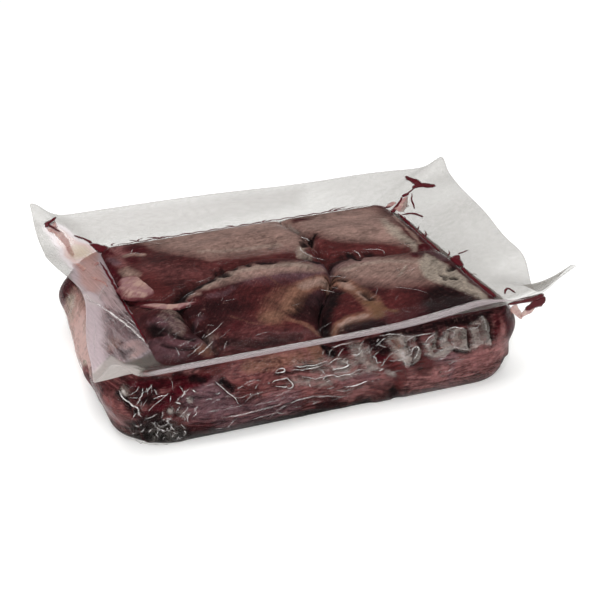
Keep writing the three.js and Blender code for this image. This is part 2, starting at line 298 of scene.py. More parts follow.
# Marks seen from the front on the walls, x and z on the belly's plane.
WALL_MARKS = {
    "flesh": (
        area(5, 0.9, (-66, 54), (-67, 44), (-60, 33), (-47, 27), (-22, 29), (-12, 38), (-13, 54)),
        area(5, 0.8, (-22, 28), (0, 30), (28, 28), (34, 18), (42, 8), (28, 5), (5, 14), (-20, 18)),
        line(2.5, 4.0, 0.9, (-128, 44), (-124, 31), (-118, 21)),
        area(4, 0.9, (105, 52), (110, 45), (113, 34), (110, 28), (104, 36)),
        area(5, 0.4, (-136, 104), (-128, 104), (-118, 92), (-114, 82), (-124, 74), (-134, 70)),
    ),
    "pink": (
        area(5, 1.0, (47, 22), (54, 17), (63, 22), (76, 26), (90, 29), (104, 34), (111, 40), (115, 30),
             (113, 15), (108, 6), (90, 1), (60, 1), (45, 3)),
        area(6, 0.62, (-26, 50), (-4, 42), (14, 40), (34, 30), (44, 24), (30, 20), (4, 26), (-24, 32)),
        line(1.6, 3.0, 0.8, (-20, 35), (-8, 31), (6, 30), (20, 32)),
        line(1.4, 3.0, 0.8, (0, 34), (8, 35), (14, 42)),
        line(2.0, 3.0, 0.7, (4, 18), (14, 16), (20, 15)),
        line(1.2, 2.5, 0.8, (10, 12), (20, 13), (26, 9)),
        area(4, 1.0, (-150, 104), (-145, 110), (-137, 110), (-135, 92), (-135, 74), (-139, 64), (-144, 82),
             (-148, 94)),
        area(5, 0.5, (-48, 26), (-22, 26), (-22, 20), (-48, 20)),
        line(1.2, 2.0, 0.8, (-85, 50), (-79, 49.5)),
    ),
    "mauve": (
        area(6, 0.9, (-88, 36), (-80, 42), (-70, 42), (-66, 37), (-60, 28), (-55, 21), (-22, 22), (-22, 18),
             (-66, 17), (-82, 20)),
        area(3, 0.8, (62, 31), (80, 29), (78, 25), (64, 25)),
        line(0.8, 2.0, 0.5, (78, 25), (77, 10)),
        area(4, 0.6, (-70, 16), (-20, 17), (-20, 8), (-70, 8)),
        area(4, 0.8, (-129, 98), (-117, 90), (-112, 80), (-118, 78), (-126, 84)),
        area(4, 0.6, (4, 27), (24, 29), (28, 23), (8, 23)),
    ),
    "red": (
        line(2.5, 4.0, 0.9, (-75, 48), (-66, 50)),
        line(3.0, 4.0, 0.7, (38, 52), (44, 42)),
        area(3, 1.0, (55, 30), (60, 28), (66, 27), (63, 22), (57, 20), (53, 26)),
        line(2.4, 2.5, 1.0, (33, 36), (40, 28), (46, 22), (43, 14), (40, 9)),
        area(4, 0.7, (-60, 37), (-48, 35), (-40, 28), (-56, 26)),
        line(1.5, 4.0, 0.8, (-139, 80), (-137, 74)),
        area(3, 1.0, (-126, 79), (-120, 80), (-118, 70), (-124, 68)),
        line(1.0, 1.5, 0.9, (-100, 48.5), (-96, 48.5)),
    ),
    "tan": (
        area(3, 0.8, (-14, 52), (-7, 52), (-6, 42), (-12, 41)),
        line(2.5, 4.0, 0.6, (-50, 47), (-20, 46)),
        line(1.0, 2.0, 0.6, (40, 46), (44, 38)),
        area(3, 0.7, (-128, 80), (-123, 80), (-122, 75), (-127, 74)),
    ),
    "fat": (
        area(4, 0.9, (-148, 100), (-143, 112), (-137, 98), (-138, 74), (-143, 70), (-147, 90)),
        line(1.0, 2.5, 0.8, (-138, 104), (-138, 88)),
        line(1.5, 2.0, 0.8, (-116, 66), (-113, 71), (-110, 76)),
    ),
    "gristle_and_sheen": (
        line(1.4, 2.5, 0.9, (-145, 108), (-143.5, 96), (-141.5, 80), (-140, 70)),
        line(0.8, 1.6, 0.9, (-141, 104), (-140, 92), (-138, 82)),
        area(5, 0.5, (-139, 126), (-130, 128), (-126, 120), (-128, 108), (-138, 106)),
    ),
    "blood": (
        line(2.0, 1.8, 1.0, (-117, 49.5), (-105, 47), (-93, 44)),
        line(2.6, 2.0, 1.0, (-90, 48), (-82, 45.5), (-74, 45)),
        line(3.2, 2.2, 1.0, (-111, 25), (-102, 31), (-95, 37), (-88, 41), (-80, 43)),
        line(2.0, 2.4, 1.0, (108, 55), (112, 47), (114.5, 40), (115.5, 32)),
        line(1.2, 1.6, 0.9, (104, 50), (106, 42), (105, 36)),
        line(1.4, 2.0, 0.9, (118, 26), (116, 16), (111, 8)),
        area(2, 1.0, (26, 38), (30, 40), (34, 37), (31, 34)),
        area(2, 0.8, (3, 48), (12, 48), (12, 42), (6, 40)),
        line(1.2, 1.5, 0.9, (15, 38), (17, 33)),
        line(2.0, 3.0, 0.8, (-86, 12), (-72, 11)),
        area(2.2, 1.0, (-155, 128), (-144, 130), (-143, 119), (-147, 110), (-150, 105), (-156, 105)),
        area(3, 0.6, (-10, 14), (0, 14), (6, 11), (-4, 9)),
        area(3, 0.7, (-118, 22), (-108, 20), (-104, 14), (-114, 15)),
    ),
    # Painted shade in the hollows and folds; the meat is sunk under it as well.
    "dark": (
        line(1.5, 1.4, 1.0, (-125, 46), (-119, 37), (-115.5, 30)),
        area(2.5, 0.8, (-119, 45), (-112, 46), (-104, 44), (-104, 38), (-108, 32), (-113, 36)),
        area(4, 1.0, (-122, 26), (-112, 26), (-103, 27), (-98, 20), (-90, 14), (-86, 8), (-104, 4),
             (-118, 12)),
        line(2.0, 2.0, 1.0, (-82, 46), (-76, 44)),
        line(1.4, 2.0, 1.0, (-66, 41), (-60, 34)),
        area(1.5, 1.0, (-6, 52), (-1, 52), (4, 45), (2, 42), (-3, 45)),
        line(0.5, 0.8, 1.0, (-20, 39.7), (-8, 39)),
        area(2.5, 0.9, (20, 52), (31, 52), (36, 43), (37, 37), (30, 40), (24, 44)),
        line(0.9, 1.0, 0.9, (46, 46), (48, 40), (49, 37)),
        line(1.2, 1.2, 0.9, (54, 46), (56, 40), (56, 34), (54, 29)),
        line(0.9, 0.9, 1.0, (67.5, 50), (67, 42), (66, 37), (64, 35)),
        line(1.2, 1.0, 1.0, (85, 43), (87, 38), (88, 31)),
        line(1.2, 1.2, 1.0, (78, 32), (84, 28), (88, 28)),
        line(0.9, 1.0, 0.6, (72, 43), (73, 38)),
        line(1.9, 1.2, 1.0, (97, 52), (100, 44), (101, 38), (103, 33)),
        # Painted shadow under the border's front strip.
        line(3.0, 3.0, 0.9, (36, 51), (60, 51.5), (98, 52)),
        line(1.4, 1.5, 1.0, (114, 18), (112, 11), (106, 5)),
        # The next two streaks are painted shade along the foot of the wall.
        line(2.0, 2.5, 1.0, (-15, 6), (10, 3), (24, 6)),
        line(2.0, 3.0, 0.9, (-86, 5), (-60, 4), (-20, 5)),
        line(2.0, 2.0, 0.8, (40, 12), (42, 7)),
        line(1.5, 3.0, 0.8, (-119, 72), (-117, 70)),
        area(3, 0.8, (-118, 65), (-108, 64), (-104, 60), (-114, 59)),
        line(0.8, 1.2, 0.9, (-109, 74), (-107, 73)),
    ),
}

# Folds of the clear film, on the same two planes. How milky a fold is also paints its highlight.
TOP_FOLDS = (
    fold(0.6, 0.5, 0.55, (-69, -65), (-64, -61), (-60, -58), (-52, -50)),
    fold(0.8, 0.6, 0.60, (-77, -81), (-72, -77), (-68, -73), (-64, -69)),
    fold(0.5, 0.4, 0.35, (-83, -81), (-76, -75), (-70, -69)),
    fold(0.5, 0.4, 0.30, (-62, -80), (-57, -72)),
    fold(0.6, 0.4, 0.50, (-64, -14), (-57, -11.5)),
    fold(0.6, 0.5, 0.60, (26, 37), (28.5, 33), (30, 29)),
    fold(1.6, 0.4, 0.35, (25, 56), (25, 48), (26, 40)),
    fold(0.7, 0.5, 0.40, (21, 24), (20, 18), (22, 12), (25, 6), (30, 0)),
    fold(0.7, 0.6, 0.70, (51, 8), (52, 2), (51.5, -3)),
    fold(0.6, 0.5, 0.50, (57, 6), (63, 4.5), (67, 3), (68, 0), (67, -4)),
    fold(0.5, 0.4, 0.60, (13, -33), (16, -36), (20, -40)),
    fold(0.5, 0.4, 0.40, (20, -33), (24, -36)),
    fold(0.5, 0.4, 0.40, (24, -20), (31, -22.5)),
    fold(0.5, 0.4, 0.40, (-86, 50), (-80, 51), (-75, 48)),
    fold(0.5, 0.4, 0.35, (-82, 52), (-79, 57)),
    fold(0.5, 0.4, 0.35, (-69, 64), (-60, 58)),
    fold(0.4, 0.3, 0.30, (55, -45), (65, -52), (72, -60)),
    fold(0.4, 0.3, 0.30, (36, -55), (42, -50), (46, -42)),
)
WALL_FOLDS = (
    fold(0.9, 1.3, 0.80, (-124, 49), (-121, 42), (-117, 37), (-114, 34), (-113, 30), (-111.5, 27)),
    fold(0.8, 1.0, 0.60, (-110, 46), (-111, 41), (-114, 36)),
    fold(1.8, 1.2, 0.65, (-121.5, 50), (-118, 43)),
    fold(0.6, 0.8, 0.45, (-108, 30), (-101, 36), (-95, 40)),
    fold(0.7, 0.8, 0.40, (-104, 44), (-102, 40)),
    fold(0.5, 0.6, 0.35, (-94, 50), (-93, 41)),
    fold(0.5, 0.6, 0.35, (-89, 43), (-86, 36)),
    fold(0.8, 0.8, 0.35, (-128, 46), (-125, 38)),
    fold(1.6, 1.0, 0.65, (-96, 30), (-94, 26)),
    fold(1.0, 0.8, 0.70, (-92, 33), (-89, 31)),
    fold(1.5, 0.9, 0.55, (-85, 35), (-83, 30)),
    fold(1.0, 0.8, 0.45, (-82, 39), (-80.5, 37)),
    fold(0.7, 0.8, 0.60, (-104, 15), (-102, 10)),
    fold(0.6, 0.7, 0.55, (-101, 17), (-98, 15)),
    fold(0.6, 0.7, 0.50, (-96, 19), (-93, 14)),
    fold(0.5, 0.6, 0.45, (-98, 22), (-94, 18)),
    fold(0.6, 0.6, 0.40, (-90, 18), (-87, 14)),
    fold(1.8, 0.5, 0.30, (-92, 27), (-84, 22)),
    fold(0.5, 0.5, 0.50, (-112, 13), (-110, 12)),
    fold(0.5, 0.5, 0.50, (-100, 8), (-97, 7)),
    fold(0.5, 1.0, 0.80, (-69, 42), (-66, 38), (-62, 33), (-58, 28), (-55.5, 23)),
    fold(0.5, 0.9, 0.90, (-34, 40), (-32, 41.5), (-29, 41), (-28, 40), (-30, 38.8), (-33, 39), (-34, 40)),
    fold(0.6, 1.0, 0.85, (-36, 33), (-32, 34.5), (-27, 34.3), (-25, 32), (-23.5, 29.5), (-24.5, 27.5),
         (-27, 28)),
    fold(0.5, 0.8, 0.75, (-34, 30.5), (-30, 30), (-28, 29), (-27, 31)),
    fold(0.9, 1.0, 0.90, (-49, 29), (-48.5, 28.5)),
    fold(0.9, 1.0, 0.90, (-44.5, 28.5), (-44, 27.5)),
    fold(0.4, 0.6, 0.60, (-44.5, 34), (-46, 31)),
    fold(0.5, 0.6, 0.55, (-38, 34), (-37.5, 33)),
    fold(0.45, 0.8, 0.85, (-22, 41), (-17, 40.3), (-8, 39.8), (-5, 40)),
    fold(0.45, 0.8, 0.80, (-25, 39.5), (-15, 37.8), (-5, 38.2)),
    fold(0.6, 1.0, 0.65, (-20, 35), (-12, 31), (-8, 30), (0, 30.5), (6, 29), (12, 29.5), (20, 31)),
    fold(0.9, 1.0, 0.75, (0, 34), (8, 34.5), (11, 36)),
    fold(1.4, 1.0, 0.70, (5, 40), (9, 38)),
    fold(0.6, 0.8, 0.85, (0, 49), (6, 50), (12, 50)),
    fold(2.2, 1.2, 0.55, (12, 51), (16, 46), (18, 42), (20, 36), (24, 33), (28, 28)),
    fold(0.5, 0.6, 0.45, (-3, 38), (2, 41), (6, 41)),
    fold(1.3, 0.6, 0.50, (-9, 24.5), (-4, 26), (2, 25)),
    fold(0.8, 0.7, 0.50, (8, 21), (16, 21), (23, 21.5)),
    fold(0.5, 0.6, 0.60, (25, 21), (26, 21)),
    fold(0.5, 0.6, 0.60, (29, 21.5), (30, 22)),
    fold(1.2, 0.7, 0.50, (33, 27), (37, 24), (41, 22)),
    fold(0.5, 0.5, 0.80, (38, 23.8), (39, 23.2)),
    fold(1.0, 0.5, 0.28, (-67, 16), (-50, 16), (-38, 17), (-28, 19)),
    fold(0.8, 0.5, 0.28, (-30, 17), (-10, 18), (5, 15), (12, 14)),
    fold(0.6, 0.5, 0.30, (-70, 10), (-66, 9)),
    fold(0.6, 0.5, 0.30, (-63, 9), (-60, 12), (-57, 14)),
    fold(0.6, 0.5, 0.25, (-48, 11), (-36, 12), (-26, 11)),
    fold(0.6, 0.9, 0.60, (28, 51), (35, 50.8), (44, 48.4), (50.6, 46.6), (57, 46.5), (64.8, 46.3)),
    fold(0.6, 0.9, 0.65, (58, 40), (60.3, 43), (64.8, 46)),
    fold(0.6, 0.9, 0.65, (71, 46), (76, 46.8), (81.7, 45.6), (84, 43)),
    fold(0.7, 1.0, 0.75, (76.6, 34.1), (82, 31.5), (87, 29.6)),
    fold(0.6, 1.0, 0.85, (49.2, 35), (51.1, 38.6), (53.8, 38.1), (53.5, 34.2), (51.6, 30)),
    fold(0.5, 0.8, 0.95, (77, 34), (78, 32)),
    fold(0.6, 1.0, 0.70, (93.4, 51), (95.6, 48.9), (98, 41), (99.7, 34)),
    fold(0.5, 0.8, 0.60, (88, 44.5), (91, 44.3), (93.5, 46.5)),
    fold(0.6, 0.8, 0.60, (103, 36), (105, 34)),
    fold(0.5, 0.5, 0.70, (56, 24), (56.5, 23.5)),
    fold(0.5, 0.5, 0.70, (58, 34), (61, 31.5), (63, 30.2)),
)

# Where the film stands off the front wall, and the folds that press it back, on the belly's plane.
# Where the film stands off, its milky satin is partly painted sheen.
LOOSE_FILM = (
    area(1.6, 1.0, (35.2, 50.2), (46.9, 47.9), (46.6, 43.4), (50, 39.4), (49.3, 32.7), (47.6, 27),
         (44.2, 31.5), (37.7, 35), (36.7, 43.2), (33.8, 46.6)),
    line(0.9, 1.4, 0.9, (49.6, 46.2), (52.1, 40.1), (54.4, 36.8), (52.1, 30)),
    area(1.5, 1.0, (57.3, 40.2), (60.3, 43), (64.8, 46), (65.8, 38.5), (68.8, 41.8), (70.6, 46),
         (73.2, 46.6), (81.7, 45.5), (83.9, 42.8), (85, 33.5), (87.3, 29.1), (82, 31.3), (76.6, 34.1),
         (73.1, 30.3), (69, 28.8), (63.1, 30), (58.8, 33.1)),
    area(1.5, 1.0, (86.4, 44.5), (93.4, 51), (95.6, 48.9), (99.7, 34), (99.8, 31.7), (92.4, 31.5),
         (87.3, 29.7), (87.9, 38), (85.5, 43.6)),
    area(2.0, 0.7, (10, 50), (17, 49), (22, 44), (25, 36), (30, 29), (25, 29), (19, 35), (12, 42)),
    line(1.6, 2.0, 0.6, (5, 40), (9, 38), (14, 37)),
    line(1.4, 2.4, 0.5, (-22, 44), (-12, 41), (-2, 41)),
    line(1.2, 2.4, 0.55, (-24, 33), (-12, 29), (4, 29), (18, 30)),
    line(1.2, 2.4, 0.5, (-10, 36), (2, 35), (12, 33), (24, 30)),
)
FILM_PARTINGS = (
    line(1.0, 0.8, 1.0, (67.3, 49.5), (67.9, 47.7), (66.6, 42.3), (65.9, 37.3), (67.6, 34.7), (64, 33.8)),
    line(0.8, 0.8, 0.9, (73.3, 44.9), (72.5, 41.1), (74.2, 37.9)),
    line(1.0, 0.8, 1.0, (85, 43.1), (86.8, 38.8), (86.3, 32.7)),
    line(0.7, 0.8, 0.8, (47.6, 44.9), (47.3, 41), (49.6, 37.2)),
    line(1.2, 0.8, 1.0, (53, 42.7), (57.1, 44.2), (60.8, 44)),
    line(1.2, 0.8, 1.0, (54.6, 40.7), (56.5, 35.8), (56.2, 32.5)),
    line(0.9, 0.8, 0.9, (62.6, 39.7), (62.7, 38)),
    line(0.7, 1.2, 0.6, (37, 46.5), (39.7, 44.8), (43.1, 40.8)),
    line(0.8, 0.8, 0.9, (88.4, 46.4), (92.2, 45.1)),
    line(0.6, 1.5, 0.5, (79, 43), (80, 38), (79, 35)),
    line(0.6, 1.5, 0.5, (93, 43), (94, 37)),
)

# Zones of the border, on the crown's plane: how milky it is there, its tint (0 is plain, a third is lilac,
# two thirds is rose and 1 is cream), how streaky it is, and where. A later zone lies over an earlier one.
BORDER_ZONES = (
    (0.4, 0.0, 0.0, area(10, 1.0, (-128, 80), (-60, 78), (40, 84), (50, 104), (-130, 112))),
    (0.33, 0.0, 0.0, area(8, 1.0, (120, -60), (135, -42), (152, -36), (140, -76))),
    (0.2, 0.42, 0.9, area(5, 1.0, (-121, 12), (-101, 20), (-100, -15), (-98, -50), (-97, -66), (-118, -74),
                          (-134, -78), (-129, -40))),
    (0.52, 0.56, 0.8, area(6, 1.0, (-119, 46), (-103, 52), (-101, 22), (-106, 10), (-118, 8), (-122, 22))),
    (0.5, 0.92, 0.4, area(8, 1.0, (-117, 82), (-105, 71), (-102.8, 58), (-108, 54), (-118, 52), (-120, 62))),
    (0.3, 0.66, 0.3, line(2.0, 6.0, 0.9, (-121, 104), (-118, 92), (-117, 80))),
    (0.44, 0.45, 0.9, area(4, 1.0, (-110, 14), (-102, 20), (-102, -15), (-107, -19), (-113, -4))),
    (0.78, 0.33, 0.5, line(2.8, 5.0, 1.0, (-119, 2), (-123.4, -33), (-129, -56), (-133.5, -76))),
    # A painted highlight where the border's left corner shines.
    (0.7, 0.2, 0.0, line(2.2, 3.5, 1.0, (-121.5, 6), (-119.6, 0), (-117, -5))),
    (0.1, 0.4, 0.7, area(4, 1.0, (-112, -14), (-105, -24), (-100, -42), (-100, -58), (-106, -66),
                         (-119, -70), (-121, -48), (-116, -24))),
    (0.4, 0.5, 0.4, line(1.4, 3.5, 1.0, (-109.5, -57), (-105, -57), (-104, -64), (-109, -69))),
    (0.5, 0.0, 0.0, area(2, 1.0, (-139, -84), (-130, -74), (-122.5, -65), (-117.5, -76), (-109, -84),
                         (-112, -92), (-139, -96))),
)

# Crisp creases on the border, on the same plane.
BORDER_FOLDS = (
    fold(0.5, 0.8, 0.6, (-122, -30), (-127, -45), (-131, -66)),
    fold(0.4, 0.8, 0.5, (-120, -12), (-123, -30), (-126, -48)),
    fold(1.5, 0.9, 0.9, (-121.5, 23), (-119.6, 2), (-116.5, -6), (-111, -20), (-105.9, -36), (-100.2, -59),
         (-98.7, -66)),
    fold(0.4, 0.6, 0.5, (-108, -22), (-104, -34), (-100, -48), (-97, -60)),
    fold(0.3, 0.5, 0.5, (-105, -18), (-101.5, -34), (-98, -50)),
    # The next crease is partly a painted highlight at the left corner's bright star.
    fold(1.8, 0.9, 1.0, (-122, 4), (-120, 0), (-118, -4)),
    fold(0.5, 0.8, 1.0, (-111, -40), (-107, -36), (-104, -33)),
    fold(0.6, 0.8, 0.6, (-115, -3), (-110, 9), (-103, 20)),
    fold(0.5, 0.6, 0.4, (-117, 30), (-110, 34), (-104, 46)),
    fold(0.3, 0.5, 0.5, (-121, -44), (-118, -58), (-121, -66)),
)

# Patches of the film on the left wall that are drawn tight and milky, on the belly's plane.
TIGHT_FILM = (
    area(3, 1.0, (-145, 96), (-140, 110), (-135, 92), (-131, 72), (-138, 60), (-145, 78)),
    area(3, 0.5, (-136, 96), (-131, 90), (-129, 74), (-134, 58), (-137, 70)),
)

# The tint of those patches, on the scale of the border's zones.
TIGHT_TINT = 0.68

# Juice and its stains on the border: half widths along points, on the crown's plane.
JUICE = {
    "juice_back_right_upper": ((1.0, 2.6, 3.6, 2.2), (127.5, 101), (128.5, 95), (130, 89), (129, 83)),
    "juice_back_right_lower": (
        (0.8, 2.4, 3.6, 3.6, 1.0), (123, 79.5), (127, 82), (132, 83), (137, 79.5), (141, 81)
    ),
    "juice_back_right_neck": ((0.9, 0.6, 0.6, 0.8), (124, 79.5), (121, 77), (118.5, 75), (117, 73.5)),
    "juice_back_right_hook": ((0.8, 1.7, 1.2), (118, 74), (114.5, 71.5), (111.5, 70)),
    "juice_back_right_edge": ((0.9, 0.9, 1.4, 2.2), (111.5, 70), (106, 62), (101, 56), (95, 48.5)),
    "juice_back_right_curve": ((0.5, 0.6, 0.7, 0.4), (120, 73), (115.5, 63), (113.5, 55), (111, 49)),
    "juice_back_right_branch": (
        (0.6, 0.9, 1.3, 1.0, 1.1), (99, 44), (104, 44), (108, 43), (110.5, 39), (111.5, 36)
    ),
    "juice_back_right_bar": ((0.6, 1.0, 1.4), (86, 63), (92, 58.5), (98, 57.5)),
    "juice_back_left_fleck": (
        (0.8, 1.4, 2.0, 1.1), (-115.2, 119), (-118.7, 115), (-122.7, 111), (-125.3, 105)
    ),
    "juice_back_left_tail": ((1.4, 1.2, 0.5), (-123.5, 109), (-121.2, 105), (-117.2, 95.5)),
    "juice_back_left_thread": ((0.8, 1.1, 1.8), (-110.5, 88), (-105, 80), (-101.5, 73)),
    "juice_back_left_pool": ((1.4, 4.4, 5.4, 4.6), (-104, 72), (-100, 67), (-97, 62), (-92, 56)),
    "juice_left_edge": (
        (0.5, 0.9, 0.8, 0.7, 0.4), (-102.6, 47), (-101.9, 20), (-101.5, -15), (-99.5, -38), (-97, -66)
    ),
    "juice_right_top": ((0.9, 1.1, 1.2, 1.3, 1.0), (98.5, 48), (99, 32), (98.5, 14), (98.5, -2), (100, -14)),
    "juice_right_flag": ((0.8, 3.4, 3.0, 1.6), (110.5, -22), (106.5, -25), (105.5, -30), (105, -37)),
    "juice_right_low": (
        (1.6, 1.5, 1.6, 2.0, 2.2), (105, -37), (103.6, -46), (103.4, -57), (105, -68), (107, -79)
    ),
    "juice_right_hair": ((0.5, 0.5, 0.3), (110, -20.5), (114, -19), (118.5, -18)),
    "juice_front_right_hook": ((0.6, 0.8, 0.8, 0.6), (113.5, -77.5), (116.5, -72), (119, -72), (120, -78)),
}
STAINS = {
    "stain_back_right": ((1.2, 3.0, 4.5, 3.5), (116, 71), (109.5, 62), (104, 54), (100, 49.5)),
    "stain_back_right_mist": ((1.5, 2.5, 2.0), (94, 58), (99, 61), (104, 65)),
    "stain_back_left": (
        (2.5, 4.2, 3.6, 2.6, 2.0, 2.2), (-117, 114), (-121, 105), (-118.5, 93), (-117, 81), (-116.8, 70),
        (-117, 58),
    ),
    "stain_left_upper": ((2.0, 4.0, 3.4), (-118, 50), (-116.5, 44), (-115.5, 37)),
    "stain_left_middle": ((1.4, 2.4, 2.4, 1.4), (-109, 45), (-107, 43.5), (-105, 45.5), (-103, 44)),
    "stain_left_lower": ((1.2, 2.6, 2.2, 1.2), (-113, 30), (-111, 24), (-108, 20), (-106, 12)),
}


def srgb(code):
    """A colour written as a hex number, in the linear values that the renderer uses."""
    parts = [int(code[i : i + 2], 16) / 255 for i in (1, 3, 5)]
    return tuple(p / 12.92 if p <= 0.04045 else ((p + 0.055) / 1.055) ** 2.4 for p in parts)


def colour(name, description, code):
    return bpy.props.FloatVectorProperty(
        name=name, description=description, subtype="COLOR", size=3, min=0, max=1, default=srgb(code)
    )


def length(name, description, millimetres):
    return bpy.props.FloatProperty(
        name=name, description=description, unit="LENGTH", precision=4, min=0, default=millimetres * MM
    )


class BeefPackSizes(bpy.types.PropertyGroup):
    """Sizes that set how plump the meat is and how the film lies on it."""

    crown: length("Crown", "Rise from the crease to the flat of the meat", 6.5)
    crown_reach: length("Crown reach", "How far inside the crease the top curves over", 6)
    ridge: length("Ridge", "How far each cheek stands up along its middle", 3.2)
    ridge_reach: length("Ridge reach", "Half width of that ridge", 17)
    valley: length("Valley", "Depth of the film between two cheeks", 2.2)
    valley_reach: length("Valley reach", "Half width of that valley", 6.5)
    rounding: length("Rounding", "Radius of a cheek's edge where it meets its neighbour", 7)
    slit: length("Slit", "Gap between two cheeks", 0.8)
    lump: length("Lumps", "Height of the muscle's slow lumps", 0.7)
    hollow: length("Hollows", "Depth of the dark hollows between muscles", 1.6)
    film_gap: length("Film gap", "How far the film lies off the meat", 0.35)
    wrinkle: length("Wrinkles", "Height of the film's sharp wrinkles", 0.9)
    web: length("Border film", "Thickness of the two welded webs", 0.4)
    juice: length("Juice", "Thickness of the juice in the border", 0.7)
    grid: length("Grid", "Spacing of the vertices on the meat", 0.9)


class BeefPackColours(bpy.types.PropertyGroup):
    """Colours of the meat, fat, juice and film."""

    muscle: colour("Muscle", "Aged muscle under film", "#693837")
    muscle_dark: colour("Dark muscle", "Purple muscle with little air", "#53272b")
    muscle_deep: colour("Deep muscle", "Muscle in the shade of its fibres", "#3a1b1e")
    flesh: colour("Pale muscle", "Paler muscle near the walls", "#8a5453")
    pink: colour("Pink muscle", "Pink speckled muscle", "#a26c6b")
    mauve: colour("Mauve", "Thin grey membrane over dark muscle", "#77585f")
    # Also painted sheen: the film's reflection of the pale floor behind, on the cheeks' backward slopes.
    silverskin_and_sheen: colour("Silverskin", "Thick grey membrane on the cheeks", "#b19086")
    red: colour("Red muscle", "Muscle that took up some air", "#632b2b")
    tan: colour("Seam fat", "Soft fat in the seams", "#9c705d")
    fat: colour("Fat", "Pale fat", "#b49488")
    # Also painted sheen, on the right shoulder and along the crests of the cheeks.
    gristle_and_sheen: colour("Gristle", "Pale gristle and thick membrane", "#b9aa9c")
    yellow: colour("Yellow fat", "Old fat at the cheek's edge", "#7c5a42")
    blood: colour("Blood", "Juice soaked into the surface", "#4c0c17")
    dark: colour("Hollow", "Unlit hollow between folds", "#1c0d0f")
    trim: colour("Trimming", "Pale side of the fat and the tendon", "#a2857a")
    trim_deep: colour("Deep trimming", "Pinker side of the fat and the tendon", "#826061")
    juice: colour("Juice", "Dark juice in the border", "#4a161b")
    stain: colour("Stain", "Thin film of juice in the border", "#9c6a68")
    # Also the painted highlight on folds, creases and the border's bright lines.
    film: colour("Film folds", "Milky tint where the film folds", "#dfd6d3")
    # Its tint is partly painted sheen.
    loose_and_sheen: colour("Loose film", "Satin tint where the film stands off the meat", "#a3958c")
    border: colour("Border", "Milky tint of the border", "#87817a")
    cream: colour("Cream", "Border wetted by fat", "#c4ae90")
    rose: colour("Rose", "Border wetted by thin juice", "#c69c94")
    lilac: colour("Lilac", "Border drawn tight over the meat", "#cbbcc0")
    floor: colour("Floor", "Pale studio floor", "#f4f4f3")


# Shape functions.


def bell(distance, reach):
    return np.exp(-((distance / reach) ** 2))


def mix(a, b, share):
    return a + (b - a) * share


def smooth_step(value, low, high):
    t = np.clip((value - low) / (high - low), 0, 1)
    return t * t * (3 - 2 * t)


def noise(points, size, seed):
    """Smooth noise from -1 to 1. size is one length or one for each axis."""
    table = np.random.default_rng(seed).uniform(-1, 1, 4096)
    place = points / np.asarray(size, float)
    cell = np.floor(place).astype(np.int64)
    inside = place - cell
    inside = inside * inside * (3 - 2 * inside)
    total = np.zeros(len(points))
    for corner in range(8):
        shift = np.array([corner & 1, corner >> 1 & 1, corner >> 2 & 1])
        weight = np.prod(np.where(shift, inside, 1 - inside), axis=1)
        key = (cell + shift) @ np.array([73856093, 19349663, 83492791])
        total += weight * table[(key ^ (key >> 7)) % len(table)]
    return total


def creased(points, size, seed, sharp=2.0):
    """Noise folded over, so that it has sharp ridges. From 0 to 1."""
    return (1 - np.abs(noise(points, size, seed))) ** (sharp * 3)


def from_path(x, y, path):
    """Distance of each point to a line through the path's points, and how far along the line it is."""
    best, along = np.full(len(x), 1e9), np.zeros(len(x))
    for step, ((ax, ay), (bx, by)) in enumerate(zip(path[:-1], path[1:])):
        span = max((bx - ax) ** 2 + (by - ay) ** 2, 1e-9)
        t = np.clip(((x - ax) * (bx - ax) + (y - ay) * (by - ay)) / span, 0, 1)
        off = np.hypot(x - ax - t * (bx - ax), y - ay - t * (by - ay))
        along = np.where(off < best, (step + t) / (len(path) - 1), along)
        best = np.minimum(best, off)
    return best, along


def in_corners(x, y, corners):
    """Which points lie inside a polygon."""
    inside = np.zeros(len(x), bool)
    for (ax, ay), (bx, by) in zip(corners, corners[1:] + corners[:1]):
        crosses = (ay > y) != (by > y)
        inside ^= crosses & (x < (bx - ax) * (y - ay) / ((by - ay) or 1e-9) + ax)
    return inside


def within_reach(x, y, path, reach):
    """Which points lie in the box round a path, grown by a reach."""
    across, along = zip(*path)
    near = (x > min(across) - reach) & (x < max(across) + reach)
    near &= (y > min(along) - reach) & (y < max(along) + reach)
    return np.nonzero(near)[0]


def coverage(x, y, marks, blur=1.0):
    """How far each point is covered by the marks, from 0 to 1. blur softens their edges further."""
    total = np.zeros(len(x))
    for mark in marks:
        soft = mark.soft * blur
        reach = mark.half + 1.25 * soft
        near = within_reach(x, y, mark.points, reach)
        if not len(near):
            continue
        path = mark.points + mark.points[:1] if mark.filled else mark.points
        off, _ = from_path(x[near], y[near], path)
        if mark.filled:
            off = np.where(in_corners(x[near], y[near], mark.points), -off, off)
            cover = mark.strength * (1 - smooth_step(off, -0.7 * soft, reach))
        else:
            cover = mark.strength * (1 - smooth_step(off, 0.5 * mark.half, reach))
        total[near] = np.maximum(total[near], cover)
    return total


def fold_shape(x, y, folds):
    """Height and milkiness of the film's folds at each point. Only the wide ones are milky here, because
    the narrow ones are strips of their own."""
    height, haze = np.zeros(len(x)), np.zeros(len(x))
    for item in folds:
        wide = item.half > WIDE_FOLD
        reach = max(item.half * (2.0 if wide else 2.6), 1.5)
        near = within_reach(x, y, item.points, reach)
        if not len(near):
            continue
        off, share = from_path(x[near], y[near], item.points)
        looped = item.points[0] == item.points[-1]
        taper = 1.0 if looped else 0.25 + 0.75 * np.sqrt(np.clip(4 * share * (1 - share), 0, 1))
        rise = 1 - smooth_step(off, 0, reach * taper)
        height[near] = np.maximum(height[near], item.height * taper * rise)
        if wide:
            haze[near] = np.maximum(haze[near], item.haze * taper * rise)
    return height, haze


